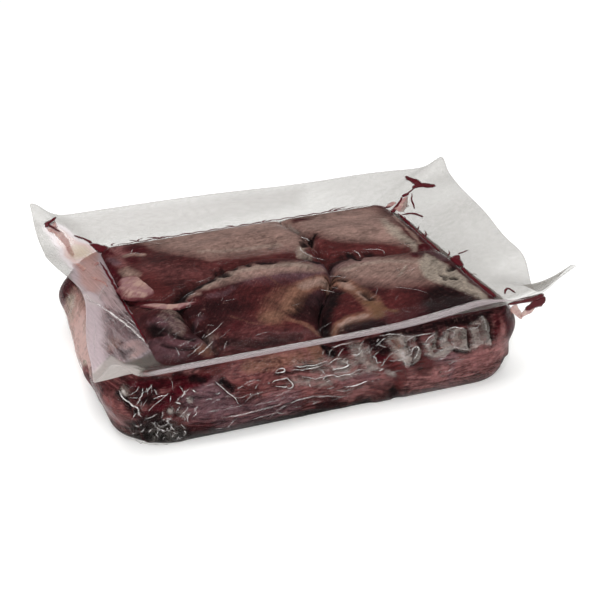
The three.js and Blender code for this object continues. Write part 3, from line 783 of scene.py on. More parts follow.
def seen_on(points, axis, level):
    """Where the line of sight through each point meets the plane at a level of one axis."""
    t = (level - SIGHT_SPOT[axis]) / (points[:, axis] - SIGHT_SPOT[axis])
    return SIGHT_SPOT + (points - SIGHT_SPOT) * t[:, None]


def on_crown_plane(points):
    x, y, _ = seen_on(points, 2, CROWN_PLANE).T
    return x, y


def on_front_plane(points):
    x, _, z = seen_on(points, 1, FRONT_PLANE).T
    return x, z


def in_outline(across, along, outline):
    """A point of the square from -1 to 1 moved to its place in a rounded rectangle."""
    half_x = (outline["right"] - outline["left"]) / 2
    half_y = (outline["back"] - outline["front"]) / 2
    x, y = across * half_x, along * half_y
    near_x = np.clip(x, outline["corner"] - half_x, half_x - outline["corner"])
    near_y = np.clip(y, outline["corner"] - half_y, half_y - outline["corner"])
    past_x, past_y = x - near_x, y - near_y
    stretch = np.maximum(np.abs(past_x), np.abs(past_y)) / np.maximum(np.hypot(past_x, past_y), 1e-9)
    centre_x = (outline["left"] + outline["right"]) / 2
    centre_y = (outline["front"] + outline["back"]) / 2
    return centre_x + near_x + past_x * stretch, centre_y + near_y + past_y * stretch


def in_pocket(across, along, outline):
    x, y = in_outline(across, along, outline)
    return np.where(x > 0, x - SKEW * y * x / outline["right"], x), y


def to_square(x, y):
    """Places on the crease's unskewed rectangle as places on the square."""
    return (
        (x - CREASE["left"]) / (CREASE["right"] - CREASE["left"]) * 2 - 1,
        (y - CREASE["front"]) / (CREASE["back"] - CREASE["front"]) * 2 - 1,
    )


def from_square(across, along):
    return (
        mix(CREASE["left"], CREASE["right"], (across + 1) / 2),
        mix(CREASE["front"], CREASE["back"], (along + 1) / 2),
    )


# The seams between the cheeks. share is 1 at the top and 0 at the bottom, and two seams lean on the way.
def row_seam(x, share=1.0):
    return -3 + 0.02 * x + 25 * bell(x + 8, 42) - 12 * bell(x + 85, 20)


def back_seam(y, share=1.0):
    return 29 + 2.5 * np.sin(y / 14) + 3 * np.sin(7 * share + 1) * (1 - share)


def front_seam(y, share=1.0):
    return 16 + 17 * np.tanh((y + 33) / 26) + 44 * smooth_step(1 - share, 0.05, 0.7)


def left_seam(y, share=1.0):
    return -68 + 4 * np.sin(y / 16) - 28 * smooth_step(1 - share, 0, 0.55)


def top_rise(x, y, sizes, valley):
    """Height of the block's top over its crease."""
    inside = np.minimum.reduce(
        [x - CREASE["left"], CREASE["right"] - x, y - CREASE["front"], CREASE["back"] - y]
    )
    inside = np.maximum(inside, 0)
    rise = 1 - np.exp(-inside / (sizes.crown_reach / MM))
    seam = row_seam(x)
    is_back = smooth_step(y, seam - 9, seam + 9)
    reach = sizes.ridge_reach / MM
    ridges = (1 - is_back) * bell(y - (seam - 19), reach) + is_back * bell(y - (seam + 42) / 1.35, reach)
    near = sizes.valley_reach / MM
    seams = bell(y - seam, near)
    seams += 0.8 * is_back * bell(x - back_seam(y), near)
    seams += (1 - is_back) * (0.9 * bell(x - front_seam(y), near) + 0.6 * bell(x - left_seam(y), near))
    open_share = smooth_step(inside, 0, 13)
    flat = np.column_stack([x, y, np.zeros(len(x))])
    lumps = sizes.lump / MM * (noise(flat, 26, 3) + 0.4 * noise(flat, 11, 4))
    drop = valley * open_share * np.minimum(seams, 1.15)
    return rise * (sizes.crown / MM + sizes.ridge / MM * ridges - drop + lumps * open_share)


def wall_relief(x, y, z, share):
    lumps = np.sin(x / 19 + 0.6 + 0.9 * np.sin(z / 13)) * np.cos(y / 21 + 0.4 + z / 30)
    folds = np.sin(z / 4.1 + 1.5 * np.sin(x / 23 + 1) + 1.2 * np.cos(y / 17))
    parting = 1.6 * bell(x + 6, 9) * smooth_step(z, 20, 48)
    return np.sin(np.pi * share) * (1.7 * lumps + 1.3 * folds - parting)


def outwards(points):
    """Directions away from the block's middle, in plan."""
    return points[:, :2] / np.maximum(np.hypot(points[:, 0], points[:, 1]), 1e-9)[:, None]


def near_skin(across, along):
    """1 on the pocket's wall, falling off quickly towards its middle."""
    return np.maximum(np.abs(across), np.abs(along)) ** 8


def pocket_place(across, along, share, sizes, valley):
    """A point of the filled pocket, its volume as well as its skin."""
    below = share < BELLY_SHARE
    turn = np.where(below, share / BELLY_SHARE, (share - BELLY_SHARE) / (1 - BELLY_SHARE)) * math.pi / 2
    belly_x, belly_y = in_pocket(across, along, BELLY)
    base_x, base_y = in_pocket(across, along, BASE)
    crease_x, crease_y = in_pocket(across, along, CREASE)
    low, high = np.sin(turn), 1 - np.cos(turn)
    x = np.where(below, mix(base_x, belly_x, low), mix(belly_x, crease_x, high))
    y = np.where(below, mix(base_y, belly_y, low), mix(belly_y, crease_y, high))
    z = np.where(
        below, mix(BASE["z"], BELLY["z"], 1 - np.cos(turn)), mix(BELLY["z"], CREASE["z"], np.sin(turn))
    )
    points = np.column_stack([x, y, z])
    relief = wall_relief(x, y, z, share) * near_skin(across, along)
    points[:, :2] += outwards(points) * relief[:, None]
    rise = top_rise(*from_square(across, along), sizes, valley)
    points[:, 2] = np.maximum(z * (CREASE["z"] + rise) / CREASE["z"], 0)
    return points


def hem_rise(x, along, out):
    """How far the border's front edge is folded up to a low ridge, just inside the edge."""
    ends = smooth_step(x, -122, -104) * (1 - smooth_step(x, 80, 112)) * smooth_step(-along, 0.97, 1.0)
    ridge = smooth_step(out, 0.78, 0.9) * (1 - smooth_step(out, 0.91, 0.985))
    return HEM_RISE * mix(1, 1.6, smooth_step(x, -10, 60)) * ends * ridge


def border_place(across, along, out):
    """A point of the border's middle surface. out is 0 at the crease and 1 at the edge."""
    crease_x, crease_y = in_pocket(across, along, CREASE)
    edge_x, edge_y = in_outline(across, along, BORDER)
    x, y = mix(crease_x, edge_x, out), mix(crease_y, edge_y, out)
    z = mix(CREASE["z"] + BORDER_LIFT, BORDER["z"], out)
    for at_x, at_y, reach, dx, dy, dz in BENDS.values():
        pull = bell(np.hypot(edge_x - at_x, edge_y - at_y), reach) * np.maximum(out, 0) ** 1.8
        x, y, z = x + dx * pull, y + dy * pull, z + dz * pull
    return np.column_stack([x, y, z + hem_rise(x, along, out)])


def round_square(turn):
    """Once round the square's rim as turn goes from 0 to 1: the right side first, then the back."""
    side = np.floor(turn * 4).astype(int) % 4
    step = (turn * 4) % 1 * 2 - 1
    one = np.ones_like(turn)
    across = np.choose(side, [one, -step, -one, step])
    along = np.choose(side, [step, one, -step, -one])
    return across, along


def block_middle():
    """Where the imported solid's origin lies in the block's frame."""
    edge = border_place(*round_square(np.arange(EDGE_STEPS) / EDGE_STEPS), np.ones(EDGE_STEPS))
    low, high = edge.min(axis=0), edge.max(axis=0)
    return np.array([(low[0] + high[0]) / 2, (low[1] + high[1]) / 2, 0])


MIDDLE = block_middle()


def to_frame(points):
    return (points - MIDDLE) * MM


# Mesh and material helpers.


def read_points(mesh):
    flat = np.empty(len(mesh.vertices) * 3)
    mesh.vertices.foreach_get("co", flat)
    return flat.reshape(-1, 3)


def write_points(mesh, points):
    mesh.vertices.foreach_set("co", to_frame(points).ravel())
    mesh.update()


def cut_along(bm, axis, cuts):
    edges = [e for e in bm.edges if abs((e.verts[0].co - e.verts[1].co)[axis]) > 1e-6]
    bmesh.ops.subdivide_edges(bm, edges=edges, cuts=cuts, use_grid_fill=True)


def finish_mesh(bm, name):
    mesh = bpy.data.meshes.new(name)
    bm.to_mesh(mesh)
    bm.free()
    return mesh


def box_mesh(name, cuts, flat_base=False):
    """A cube from -1 to 1, cut into a grid on every side. A flat base is left as one face."""
    bm = bmesh.new()
    bmesh.ops.create_cube(bm, size=2)
    for axis, count in enumerate(cuts):
        cut_along(bm, axis, count)
    if flat_base:
        base = [face for face in bm.faces if face.calc_center_median().z < -0.9999]
        bmesh.ops.dissolve_faces(bm, faces=base, use_verts=True)
    return finish_mesh(bm, name)


def sheet_mesh(name, columns, rows):
    bm = bmesh.new()
    bmesh.ops.create_grid(bm, x_segments=columns, y_segments=rows, size=1)
    return finish_mesh(bm, name)


def add_attribute(mesh, name, values):
    layer = mesh.attributes.new(name, "FLOAT", "POINT")
    layer.data.foreach_set("value", np.ascontiguousarray(values, dtype=np.float32))


def add_piece(mesh, material):
    piece = bpy.data.objects.new(mesh.name, mesh)
    bpy.context.scene.collection.objects.link(piece)
    mesh.materials.append(material)
    mesh.shade_smooth()
    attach(piece, "root")
    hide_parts(NODE)
    return piece


def add_node(tree, kind, settings=None, **links):
    """Adds a node. Settings are its own properties; links are values or sockets for its inputs, and a name
    such as i2 is the input with that number."""
    node = tree.nodes.new(kind)
    for key, value in (settings or {}).items():
        setattr(node, key, value)
    for key, value in links.items():
        socket = node.inputs[int(key[1:])] if key[0] == "i" and key[1:].isdigit() else node.inputs[key]
        if isinstance(value, bpy.types.NodeSocket):
            tree.links.new(value, socket)
        else:
            socket.default_value = value
    return node


def new_material(name):
    material = bpy.data.materials.new(name)
    material.use_nodes = True
    material.node_tree.nodes.clear()
    return material, material.node_tree


def rgba(value):
    return (*value, 1.0)


# Materials.


def blend_colour(tree, factor, below, above):
    return add_node(tree, "ShaderNodeMix", {"data_type": "RGBA"}, i0=factor, i6=below, i7=above).outputs[2]


def calculate(tree, operation, *values):
    links = {f"i{i}": value for i, value in enumerate(values)}
    return add_node(tree, "ShaderNodeMath", {"operation": operation}, **links).outputs[0]


def remap(tree, value, low, high, to_low=0.0, to_high=1.0, interpolation="SMOOTHSTEP"):
    node = add_node(
        tree, "ShaderNodeMapRange", {"interpolation_type": interpolation}, i0=value, i1=low, i2=high,
        i3=to_low, i4=to_high,
    )
    return node.outputs[0]


def grain(tree, place, turn, size, detail=3.0, roughness=0.6, twist=0.4):
    """Noise stretched to a grain: its size in millimetres along, across and up, turned in plan. twist bends
    its streaks."""
    laid = add_node(
        tree, "ShaderNodeMapping", {"vector_type": "TEXTURE"}, Vector=place, Rotation=(0, 0, turn),
        Scale=tuple(s * MM for s in size),
    )
    cloud = add_node(
        tree, "ShaderNodeTexNoise", Vector=laid.outputs[0], Scale=1.0, Detail=detail, Roughness=roughness,
        Distortion=twist,
    )
    return cloud.outputs[0]


# How each mask's edge looks: its softness, how ragged it is, which grain breaks it up, and how much
# further it fades out on the top of the meat.
EDGES = {
    "flesh": (0.60, 0.50, "mottle", 1.3),
    "pink": (0.60, 0.55, "mottle", 1.2),
    "mauve": (0.60, 0.45, "streak", 1.4),
    "red": (0.60, 0.50, "mottle", 1.6),
    "silverskin_and_sheen": (0.60, 0.22, "fibre", 1.35),
    "tan": (0.60, 0.40, "fibre", 1.5),
    "yellow": (0.55, 0.60, "mottle", 1.2),
    "fat": (0.55, 0.40, "fibre", 1.3),
    "gristle_and_sheen": (0.50, 0.35, "mottle", 1.2),
    "blood": (0.48, 0.35, "streak", 1.2),
    "dark": (0.48, 0.30, "streak", 1.2),
}
MASKS = tuple(EDGES)

# How much of a mask is strewn over the walls that its marks weren't measured on.
STREWN = {"flesh": 0.75, "pink": 0.5, "mauve": 0.45, "red": 0.4, "fat": 0.2, "blood": 0.3, "dark": 0.3}


def even_grain(tree, place, turn, size, detail, roughness=0.6, twist=0.4):
    """A grain stretched to run over the whole of 0 to 1."""
    return remap(tree, grain(tree, place, turn, size, detail, roughness, twist), 0.28, 0.72)


def raw_beef(name, colours, base, turn):
    """Raw cheek muscle: fibres that run one way, threads of fat, and patches of silverskin, seam fat and
    soaked-in juice, with painted sheen on the cheeks and painted shade in hollows and at the foot of the walls.
    Its fibres are drawn coarser than the real ones, so that they show."""
    material, tree = new_material(name)
    place = add_node(tree, "ShaderNodeTexCoord").outputs["Object"]
    grains = {
        "fibre": even_grain(tree, place, turn, (14, 1.4, 2.2), 6.0, 0.7, 0.8),
        "mottle": even_grain(tree, place, 0.3, (3.6, 2.7, 2.7), 6.0, 0.74, 0.8),
        "streak": even_grain(tree, place, 1.9, (9, 2.0, 4.5), 4.0),
        "layer": even_grain(tree, place, 0.05, (17, 24, 3.6), 5.0, 0.66, 1.6),
    }
    cloud = even_grain(tree, place, 0.0, (20, 14, 14), 3.0)
    on_wall = add_node(tree, "ShaderNodeAttribute", {"attribute_name": "wall"}).outputs["Fac"]
    layered = calculate(tree, "MULTIPLY", on_wall, remap(tree, grains["layer"], 0.45, 1.0, 0.0, 0.75))
    shade = blend_colour(tree, grains["fibre"], rgba(colours.muscle_deep), rgba(base))
    shade = blend_colour(tree, calculate(tree, "MULTIPLY", cloud, 0.4), shade, rgba(colours.red))
    shade = blend_colour(tree, layered, shade, rgba(colours.flesh))
    vein = remap(tree, even_grain(tree, place, 0.05, (26, 30, 2.2), 5.0, 0.64, 1.4), 0.6, 1.0, 0.0, 0.55)
    shade = blend_colour(tree, calculate(tree, "MULTIPLY", on_wall, vein), shade, rgba(colours.pink))
    for mask, (soft, ragged, kind, _) in EDGES.items():
        cover = add_node(tree, "ShaderNodeAttribute", {"attribute_name": mask}).outputs["Fac"]
        broken = calculate(tree, "MULTIPLY_ADD", grains[kind], ragged, -0.55 * ragged)
        whole = calculate(tree, "ADD", cover, broken)
        edge = remap(tree, whole, 0.5 - soft, 0.5 + soft, interpolation="LINEAR")
        gate = remap(tree, cover, 0.0, 0.25)
        shade = blend_colour(tree, calculate(tree, "MULTIPLY", edge, gate), shade, rgba(getattr(colours, mask)))
    thread = even_grain(tree, place, turn, (9, 1.2, 1.6), 3.0, 0.7)
    speckle = calculate(tree, "MULTIPLY", thread, grains["mottle"])
    shade = blend_colour(tree, remap(tree, speckle, 0.45, 1.0, 0.0, 0.3), shade, rgba(colours.fat))
    folded = calculate(tree, "MULTIPLY", on_wall, calculate(tree, "MULTIPLY_ADD", grains["layer"], 0.6, -0.4))
    # Painted shade: the walls darken towards the floor.
    low = add_node(tree, "ShaderNodeAttribute", {"attribute_name": "low"}).outputs["Fac"]
    folded = calculate(tree, "MULTIPLY_ADD", low, -0.46, folded)
    folded = calculate(tree, "MULTIPLY_ADD", on_wall, 0.15, folded)
    value = calculate(tree, "MULTIPLY_ADD", grains["mottle"], 0.36, 0.14)
    value = calculate(tree, "MULTIPLY_ADD", thread, 0.18, value)
    value = calculate(tree, "ADD", calculate(tree, "MULTIPLY_ADD", cloud, 0.22, value), folded)
    value = calculate(tree, "MAXIMUM", value, 0.12)
    shade = add_node(tree, "ShaderNodeVectorMath", {"operation": "SCALE"}, i0=shade, Scale=value).outputs[0]
    relief = calculate(tree, "ADD", grains["fibre"], calculate(tree, "MULTIPLY", grains["mottle"], 0.8))
    bump = add_node(tree, "ShaderNodeBump", Height=relief, Strength=0.5, Distance=0.0006)
    surface = add_node(
        tree, "ShaderNodeBsdfPrincipled", **{"Base Color": shade, "Roughness": 0.5, "IOR": 1.38}
    )
    surface.inputs["Specular IOR Level"].default_value = 0.05
    tree.links.new(bump.outputs[0], surface.inputs["Normal"])
    add_node(tree, "ShaderNodeOutputMaterial", Surface=surface.outputs[0])
    return material


def pale_fat(name, colours):
    """Fat and tendon: smooth, waxy and pink at its edge, with a few faint veins."""
    material, tree = new_material(name)
    place = add_node(tree, "ShaderNodeTexCoord").outputs["Object"]
    cloud = grain(tree, place, 0.4, (9, 6, 6), 4.0)
    rim = add_node(tree, "ShaderNodeAttribute", {"attribute_name": "thin"}).outputs["Fac"]
    shade = blend_colour(tree, remap(tree, cloud, 0.35, 0.7), rgba(colours.trim_deep), rgba(colours.trim))
    vein = even_grain(tree, place, 0.9, (7, 1.6, 2), 3.0)
    shade = blend_colour(tree, remap(tree, vein, 0.6, 1.0, 0.0, 0.35), shade, rgba(colours.muscle))
    rim = calculate(tree, "ADD", rim, calculate(tree, "MULTIPLY_ADD", vein, 0.4, -0.2))
    shade = blend_colour(tree, remap(tree, rim, 0.1, 1.0), shade, rgba(colours.muscle_dark))
    surface = add_node(
        tree, "ShaderNodeBsdfPrincipled", **{"Base Color": shade, "Roughness": 0.5, "IOR": 1.44}
    )
    surface.inputs["Specular IOR Level"].default_value = 0.08
    add_node(tree, "ShaderNodeOutputMaterial", Surface=surface.outputs[0])
    return material


def clear_film(name, colours, milk, whitened, slant_haze, gloss, break_up, straight, glancing, clearness, roughness, ripple):
    """Clear polyamide and polythene film, blown and shrunk tight: see-through, with crisp shine where it
    folds, and milky where it is creased or doubled; where it turns white it is partly a painted highlight and
    sheen. whitened is the milkiness from which and up to which it turns white, straight and glancing are how
    much it mirrors head-on and at a slant, and clearness is what one web lets through."""
    material, tree = new_material(name)
    place = add_node(tree, "ShaderNodeTexCoord").outputs["Object"]
    waves = grain(tree, place, 0.4, (9, 5, 5), 2.0)
    bump = add_node(tree, "ShaderNodeBump", Height=waves, Strength=ripple, Distance=0.001).outputs[0]
    clear = add_node(tree, "ShaderNodeBsdfTransparent", Color=(clearness, clearness, clearness * 0.995, 1))
    shine = add_node(
        tree, "ShaderNodeBsdfAnisotropic", Color=(1, 1, 1, 1), Roughness=roughness, Normal=bump
    )
    facing = add_node(tree, "ShaderNodeLayerWeight", Blend=0.5, Normal=bump).outputs["Facing"]
    edge = calculate(tree, "MULTIPLY_ADD", calculate(tree, "POWER", facing, 5.0), glancing, straight)
    glossy = add_node(tree, "ShaderNodeMixShader", Fac=edge, i1=clear.outputs[0], i2=shine.outputs[0])
    layer = add_node(tree, "ShaderNodeAttribute", {"attribute_name": "haze"}).outputs["Fac"]
    tint = blend_colour(tree, remap(tree, layer, *whitened), rgba(milk), rgba(colours.film))
    blush = add_node(tree, "ShaderNodeAttribute", {"attribute_name": "blush"}).outputs["Fac"]
    streaky = add_node(tree, "ShaderNodeAttribute", {"attribute_name": "streaky"}).outputs["Fac"]
    tint = blend_colour(tree, remap(tree, blush, 0.0, 0.33), tint, rgba(colours.lilac))
    tint = blend_colour(tree, remap(tree, blush, 0.33, 0.66), tint, rgba(colours.rose))
    tint = blend_colour(tree, remap(tree, blush, 0.66, 1.0), tint, rgba(colours.cream))
    drawn = even_grain(tree, place, 1.8, (20, 3.6, 8), 5.0, 0.68, 1.4)
    drawn = calculate(tree, "MULTIPLY_ADD", drawn, 0.5, -0.24)
    layer = calculate(tree, "MAXIMUM", calculate(tree, "MULTIPLY_ADD", drawn, streaky, layer), 0.0)
    front = add_node(tree, "ShaderNodeBsdfDiffuse", Color=tint)
    through = add_node(tree, "ShaderNodeBsdfTranslucent", Color=tint)
    body = add_node(tree, "ShaderNodeMixShader", Fac=0.35, i1=front.outputs[0], i2=through.outputs[0])
    satin_sheen = add_node(tree, "ShaderNodeBsdfAnisotropic", Color=(0.8, 0.8, 0.8, 1), Roughness=0.32, Normal=bump)
    body = add_node(tree, "ShaderNodeMixShader", Fac=gloss, i1=body.outputs[0], i2=satin_sheen.outputs[0])
    patchy = even_grain(tree, place, 0.2, (4, 2.4, 1.8), 3.0)
    uneven = calculate(tree, "MULTIPLY", layer, calculate(tree, "MULTIPLY_ADD", patchy, break_up, 1 - 0.6 * break_up))
    amount = calculate(tree, "MINIMUM", calculate(tree, "MULTIPLY_ADD", facing, slant_haze, uneven), 0.95)
    whole = add_node(tree, "ShaderNodeMixShader", Fac=amount, i1=glossy.outputs[0], i2=body.outputs[0])
    add_node(tree, "ShaderNodeOutputMaterial", Surface=whole.outputs[0])
    return material


def sharp_crease(name, colours):
    """Film pinched to a crease: it whitens along the fold, shines, and is broken up along its length. Its
    white is partly a painted highlight.
    """
    material, tree = new_material(name)
    place = add_node(tree, "ShaderNodeTexCoord").outputs["Object"]
    rim = add_node(tree, "ShaderNodeAttribute", {"attribute_name": "thin"}).outputs["Fac"]
    layer = add_node(tree, "ShaderNodeAttribute", {"attribute_name": "haze"}).outputs["Fac"]
    patchy = even_grain(tree, place, 0.2, (3, 2.4, 2.4), 3.0)
    whitened = add_node(tree, "ShaderNodeBsdfDiffuse", Color=rgba(colours.film))
    shine = add_node(tree, "ShaderNodeBsdfAnisotropic", Color=(0.9, 0.9, 0.9, 1), Roughness=0.22)
    body = add_node(tree, "ShaderNodeMixShader", Fac=0.45, i1=whitened.outputs[0], i2=shine.outputs[0])
    clear = add_node(tree, "ShaderNodeBsdfTransparent", Color=(1, 1, 1, 1))
    amount = calculate(tree, "MULTIPLY", layer, calculate(tree, "MULTIPLY_ADD", patchy, 0.9, 0.25))
    amount = calculate(tree, "MULTIPLY", amount, remap(tree, rim, 0.1, 1.0, 0.8, 0.0))
    whole = add_node(tree, "ShaderNodeMixShader", Fac=amount, i1=clear.outputs[0], i2=body.outputs[0])
    add_node(tree, "ShaderNodeOutputMaterial", Surface=whole.outputs[0])
    return material


def dark_juice(name, shade, other, solid, rim):
    """Juice pressed thin between two webs: deep in the middle, pink and clear at its rim."""
    material, tree = new_material(name)
    layer = add_node(tree, "ShaderNodeAttribute", {"attribute_name": "thin"}).outputs["Fac"]
    place = add_node(tree, "ShaderNodeTexCoord").outputs["Object"]
    cloud = grain(tree, place, 0.8, (5, 2.5, 3), 4.0)
    tint = blend_colour(tree, remap(tree, cloud, 0.35, 0.65), rgba(shade), rgba(other))
    body = add_node(tree, "ShaderNodeBsdfPrincipled", **{"Base Color": tint, "Roughness": 0.3, "IOR": 1.35})
    body.inputs["Specular IOR Level"].default_value = 0.2
    thinned = calculate(tree, "ADD", layer, calculate(tree, "MULTIPLY", calculate(tree, "SUBTRACT", cloud, 0.5), 0.5))
    tree.links.new(remap(tree, thinned, 0.35, 1.0, solid, rim), body.inputs["Alpha"])
    add_node(tree, "ShaderNodeOutputMaterial", Surface=body.outputs[0])
    return material


# Meat.


def mark_masks(points, on_front, on_hidden):
    """The masks of membrane, fat and juice, and of painted sheen and painted shade, at each point. on_front and
    on_hidden say how far a point lies on the walls that the marks were measured on, and on the ones that they
    weren't."""
    warp = 1.0 * noise(points, 9, 11) + 0.6 * noise(points, 3.2, 12) + 0.35 * noise(points, 1.8, 15)
    warp_side = 1.0 * noise(points, 9, 13) + 0.6 * noise(points, 3.2, 14) + 0.35 * noise(points, 1.8, 16)
    top_x, top_y = on_crown_plane(points)
    front_x, front_z = on_front_plane(points)
    on_top = np.clip(1 - on_front - on_hidden, 0, 1)
    masks = {}
    shaded = tuple(
        line(item.half * 0.8, 1.6, 0.75 * item.haze, *((x + 0.5, z - 1.5) for x, z in item.points))
        for item in WALL_FOLDS
    )
    for seed, mask in enumerate(MASKS, 60):
        top = coverage(top_x + warp, top_y + warp_side, TOP_MARKS.get(mask, ()), EDGES[mask][3]) * on_top
        marks = WALL_MARKS.get(mask, ()) + (shaded if mask == "dark" else ())
        front = coverage(front_x + warp, front_z + warp_side, marks) * on_front
        cloud = smooth_step(noise(points, (24, 24, 13), seed) + 0.4 * noise(points, 7, seed + 20), 0.1, 0.8)
        hidden = cloud * STREWN.get(mask, 0) * 1.3 * on_hidden
        masks[mask] = top + front + np.minimum(hidden, 1)
    return masks


def seam_drop(distance, radius):
    """A quarter round: how far an edge has dropped at this distance from its seam."""
    t = 1 - np.clip(distance / radius, 0, 1)
    return radius * (1 - np.sqrt(np.maximum(1 - t * t, 0)))


def beds(points):
    """How deep the meat is pressed in under the fat and the tendon."""
    x, y = on_crown_plane(points)
    pressed = (line(8.5, 2, 1.0, *FAT_PATH), line(2.0, 2, 0.6, *TENDON_PATH))
    return coverage(x, y, pressed)


def make_cheek(name, sizes, sides, seams, material):
    """One cheek, as a closed block of the pocket between four sides. sides are functions of place and
    share: left, right, front and back. seams names the sides that meet a neighbour."""
    left, right, front, back = sides
    middle = np.zeros(1)
    width = float((right(middle, 1.0) - left(middle, 1.0))[0])
    depth = float((back(middle, 1.0) - front(middle, 1.0))[0])
    grid = sizes.grid / MM
    cuts = [max(int(width / grid), 14), max(int(depth / grid), 14), int(CHEEK_HEIGHT / grid)]
    mesh = box_mesh(name, cuts)
    p, q, s = read_points(mesh).T
    p, q, share = (p + 1) / 2, (q + 1) / 2, (s + 1) / 2
    y = np.zeros(len(p))
    for _ in range(6):
        x = mix(left(y, share), right(y, share), p)
        y = mix(front(x, share), back(x, share), q)
    wide, deep = right(y, share) - left(y, share), back(x, share) - front(x, share)
    radius = sizes.rounding / MM
    distances = {"left": p * wide, "right": (1 - p) * wide, "front": q * deep, "back": (1 - q) * deep}
    drop = np.zeros(len(p))
    for side in seams:
        drop = np.hypot(drop, seam_drop(distances[side], radius))
    across, along = to_square(x, y)
    from_crease = np.minimum(1 - np.abs(across), 1 - np.abs(along)) * HALF_DEPTH
    drop = np.minimum(drop, radius * 1.1) * mix(0.15, 1, smooth_step(from_crease, 0, 12))
    points = pocket_place(across, along, share, sizes, sizes.valley / MM * 0.5)
    on_wall = np.maximum(np.abs(across), np.abs(along)) > RIM
    turned_away = (across > RIM) * smooth_step(along, -0.88, -0.7)
    hidden = np.maximum(turned_away, (along > RIM) | (share < 0.001))
    below_top = 1 - smooth_step(share, 0.9, 0.97)
    masks = mark_masks(points, on_wall * (1 - hidden) * below_top, hidden * below_top)
    top_share = smooth_step(share, 0.25, 0.9)
    height = np.maximum(points[:, 2], 1)
    sunk = drop + sizes.hollow / MM * masks["dark"] + 1.6 * beds(points)
    points[:, 2] *= mix(1, np.maximum((height - sunk * (share > 0.5)) / height, 0), top_share)
    sunk_wall = 0.12 * drop * np.sin(np.pi * share) + sizes.hollow / MM * masks["dark"]
    inward = (sunk_wall + sizes.film_gap / MM) * near_skin(across, along) * (share < 0.999)
    points[:, :2] -= outwards(points) * inward[:, None]
    points[:, 2] = np.where(share > 0.999, points[:, 2] - sizes.film_gap / MM, points[:, 2])
    write_points(mesh, points)
    for mask, values in masks.items():
        add_attribute(mesh, mask, values)
    add_attribute(mesh, "wall", on_wall * below_top)
    # Where painted shade darkens the foot of the walls.
    add_attribute(mesh, "low", on_wall * (1 - smooth_step(points[:, 2], 3, 20)))
    return add_piece(mesh, material)


class BEEF_OT_cheeks(bpy.types.Operator):
    """Make the four cheeks and the small muscle, pressed against each other"""

    bl_idname = "beef.make_cheeks"
    bl_label = "Make the cheeks"

    def execute(self, context):
        sizes, colours = context.scene.beef_sizes, context.scene.beef_colours
        slit = sizes.slit / MM / 2

        def edge(side):
            return lambda place, share: np.full(np.shape(place), float(CREASE[side]))

        def beside(seam, step):
            def side_of_slit(place, share):
                opened = mix(0.1, 1, smooth_step(share, 0.6, 0.95))
                return seam(place, share) + step * slit * opened

            return side_of_slit

        row_back, row_front = beside(row_seam, 1), beside(row_seam, -1)
        cheeks = (
            ("cheek_back_left", (edge("left"), beside(back_seam, -1), row_back, edge("back")),
             ("right", "front"), colours.muscle, 0.05),
            ("cheek_back_right", (beside(back_seam, 1), edge("right"), row_back, edge("back")),
             ("left", "front"), colours.muscle, -0.1),
            ("cheek_front_left", (beside(left_seam, 1), beside(front_seam, -1), edge("front"), row_front),
             ("left", "right", "back"), colours.muscle_dark, 0.95),
            ("cheek_front_right", (beside(front_seam, 1), edge("right"), edge("front"), row_front),
             ("left", "back"), colours.muscle_dark, 0.5),
            ("muscle_front_left", (edge("left"), beside(left_seam, -1), edge("front"), row_front),
             ("right", "back"), colours.muscle_dark, 0.8),
        )
        for name, sides, seams, base, turn in cheeks:
            make_cheek(name, sizes, sides, seams, raw_beef("raw_" + name, colours, base, turn))
        return {"FINISHED"}


# Strips of fat, tendon and juice.

FAT_PATH = ((-91, 25), (-90, 15), (-88.5, 4), (-87.5, -6))
FAT_HALVES = (7.0, 10.0, 11.5, 9.0)
TENDON_PATH = ((-93, -14), (-85, -17), (-79, -21), (-73, -22.5), (-66, -22), (-60, -21))
TENDON_HALVES = (1.6, 3.0, 4.8, 3.4, 2.0, 0.8)

# The flap of film that hangs from the border at its front right corner, in strips: half widths along points,
# of dark juice and of thin juice. The strips share one upright plane, so that each one joins the next, and
# the second dark one is the root that meets the border's underside.
DARK_FLAP = (
    ((1.4, 3.2, 3.7, 2.0),
     (115.5, -97.8, 57.4), (121.5, -97.8, 59.9), (126.4, -97.8, 61.3), (129, -97.8, 61.1)),
    ((0.9, 1.7, 2.1, 1.9),
     (103.8, -97.8, 63.2), (111.7, -97.8, 63.8), (119.6, -97.8, 64.2), (128, -97.8, 65.4)),
)
PALE_FLAP = (
    ((1.0, 2.6, 1.6), (112.6, -97.5, 53.3), (117.8, -97.5, 56.1), (122.4, -97.5, 58.0)),
    ((3.2, 2.8, 0.7), (107.4, -97.5, 61.8), (111.2, -97.5, 56.4), (114.7, -97.5, 51.3)),
)


def through(values, places):
    """A smooth curve through values at whole numbers, read at places."""
    values = np.asarray(values, float)
    values = values.reshape(len(values), -1)
    padded = np.vstack([2 * values[0] - values[1], values, 2 * values[-1] - values[-2]])
    start = np.clip(np.floor(places).astype(int), 0, len(values) - 2)
    t = (places - start)[:, None]
    a, b, c, d = (padded[start + i] for i in range(4))
    return 0.5 * (2 * b + (c - a) * t + (2 * a - 5 * b + 4 * c - d) * t**2 + (3 * b - a - 3 * c + d) * t**3)


def unit(vectors):
    return vectors / np.maximum(np.linalg.norm(vectors, axis=1), 1e-9)[:, None]


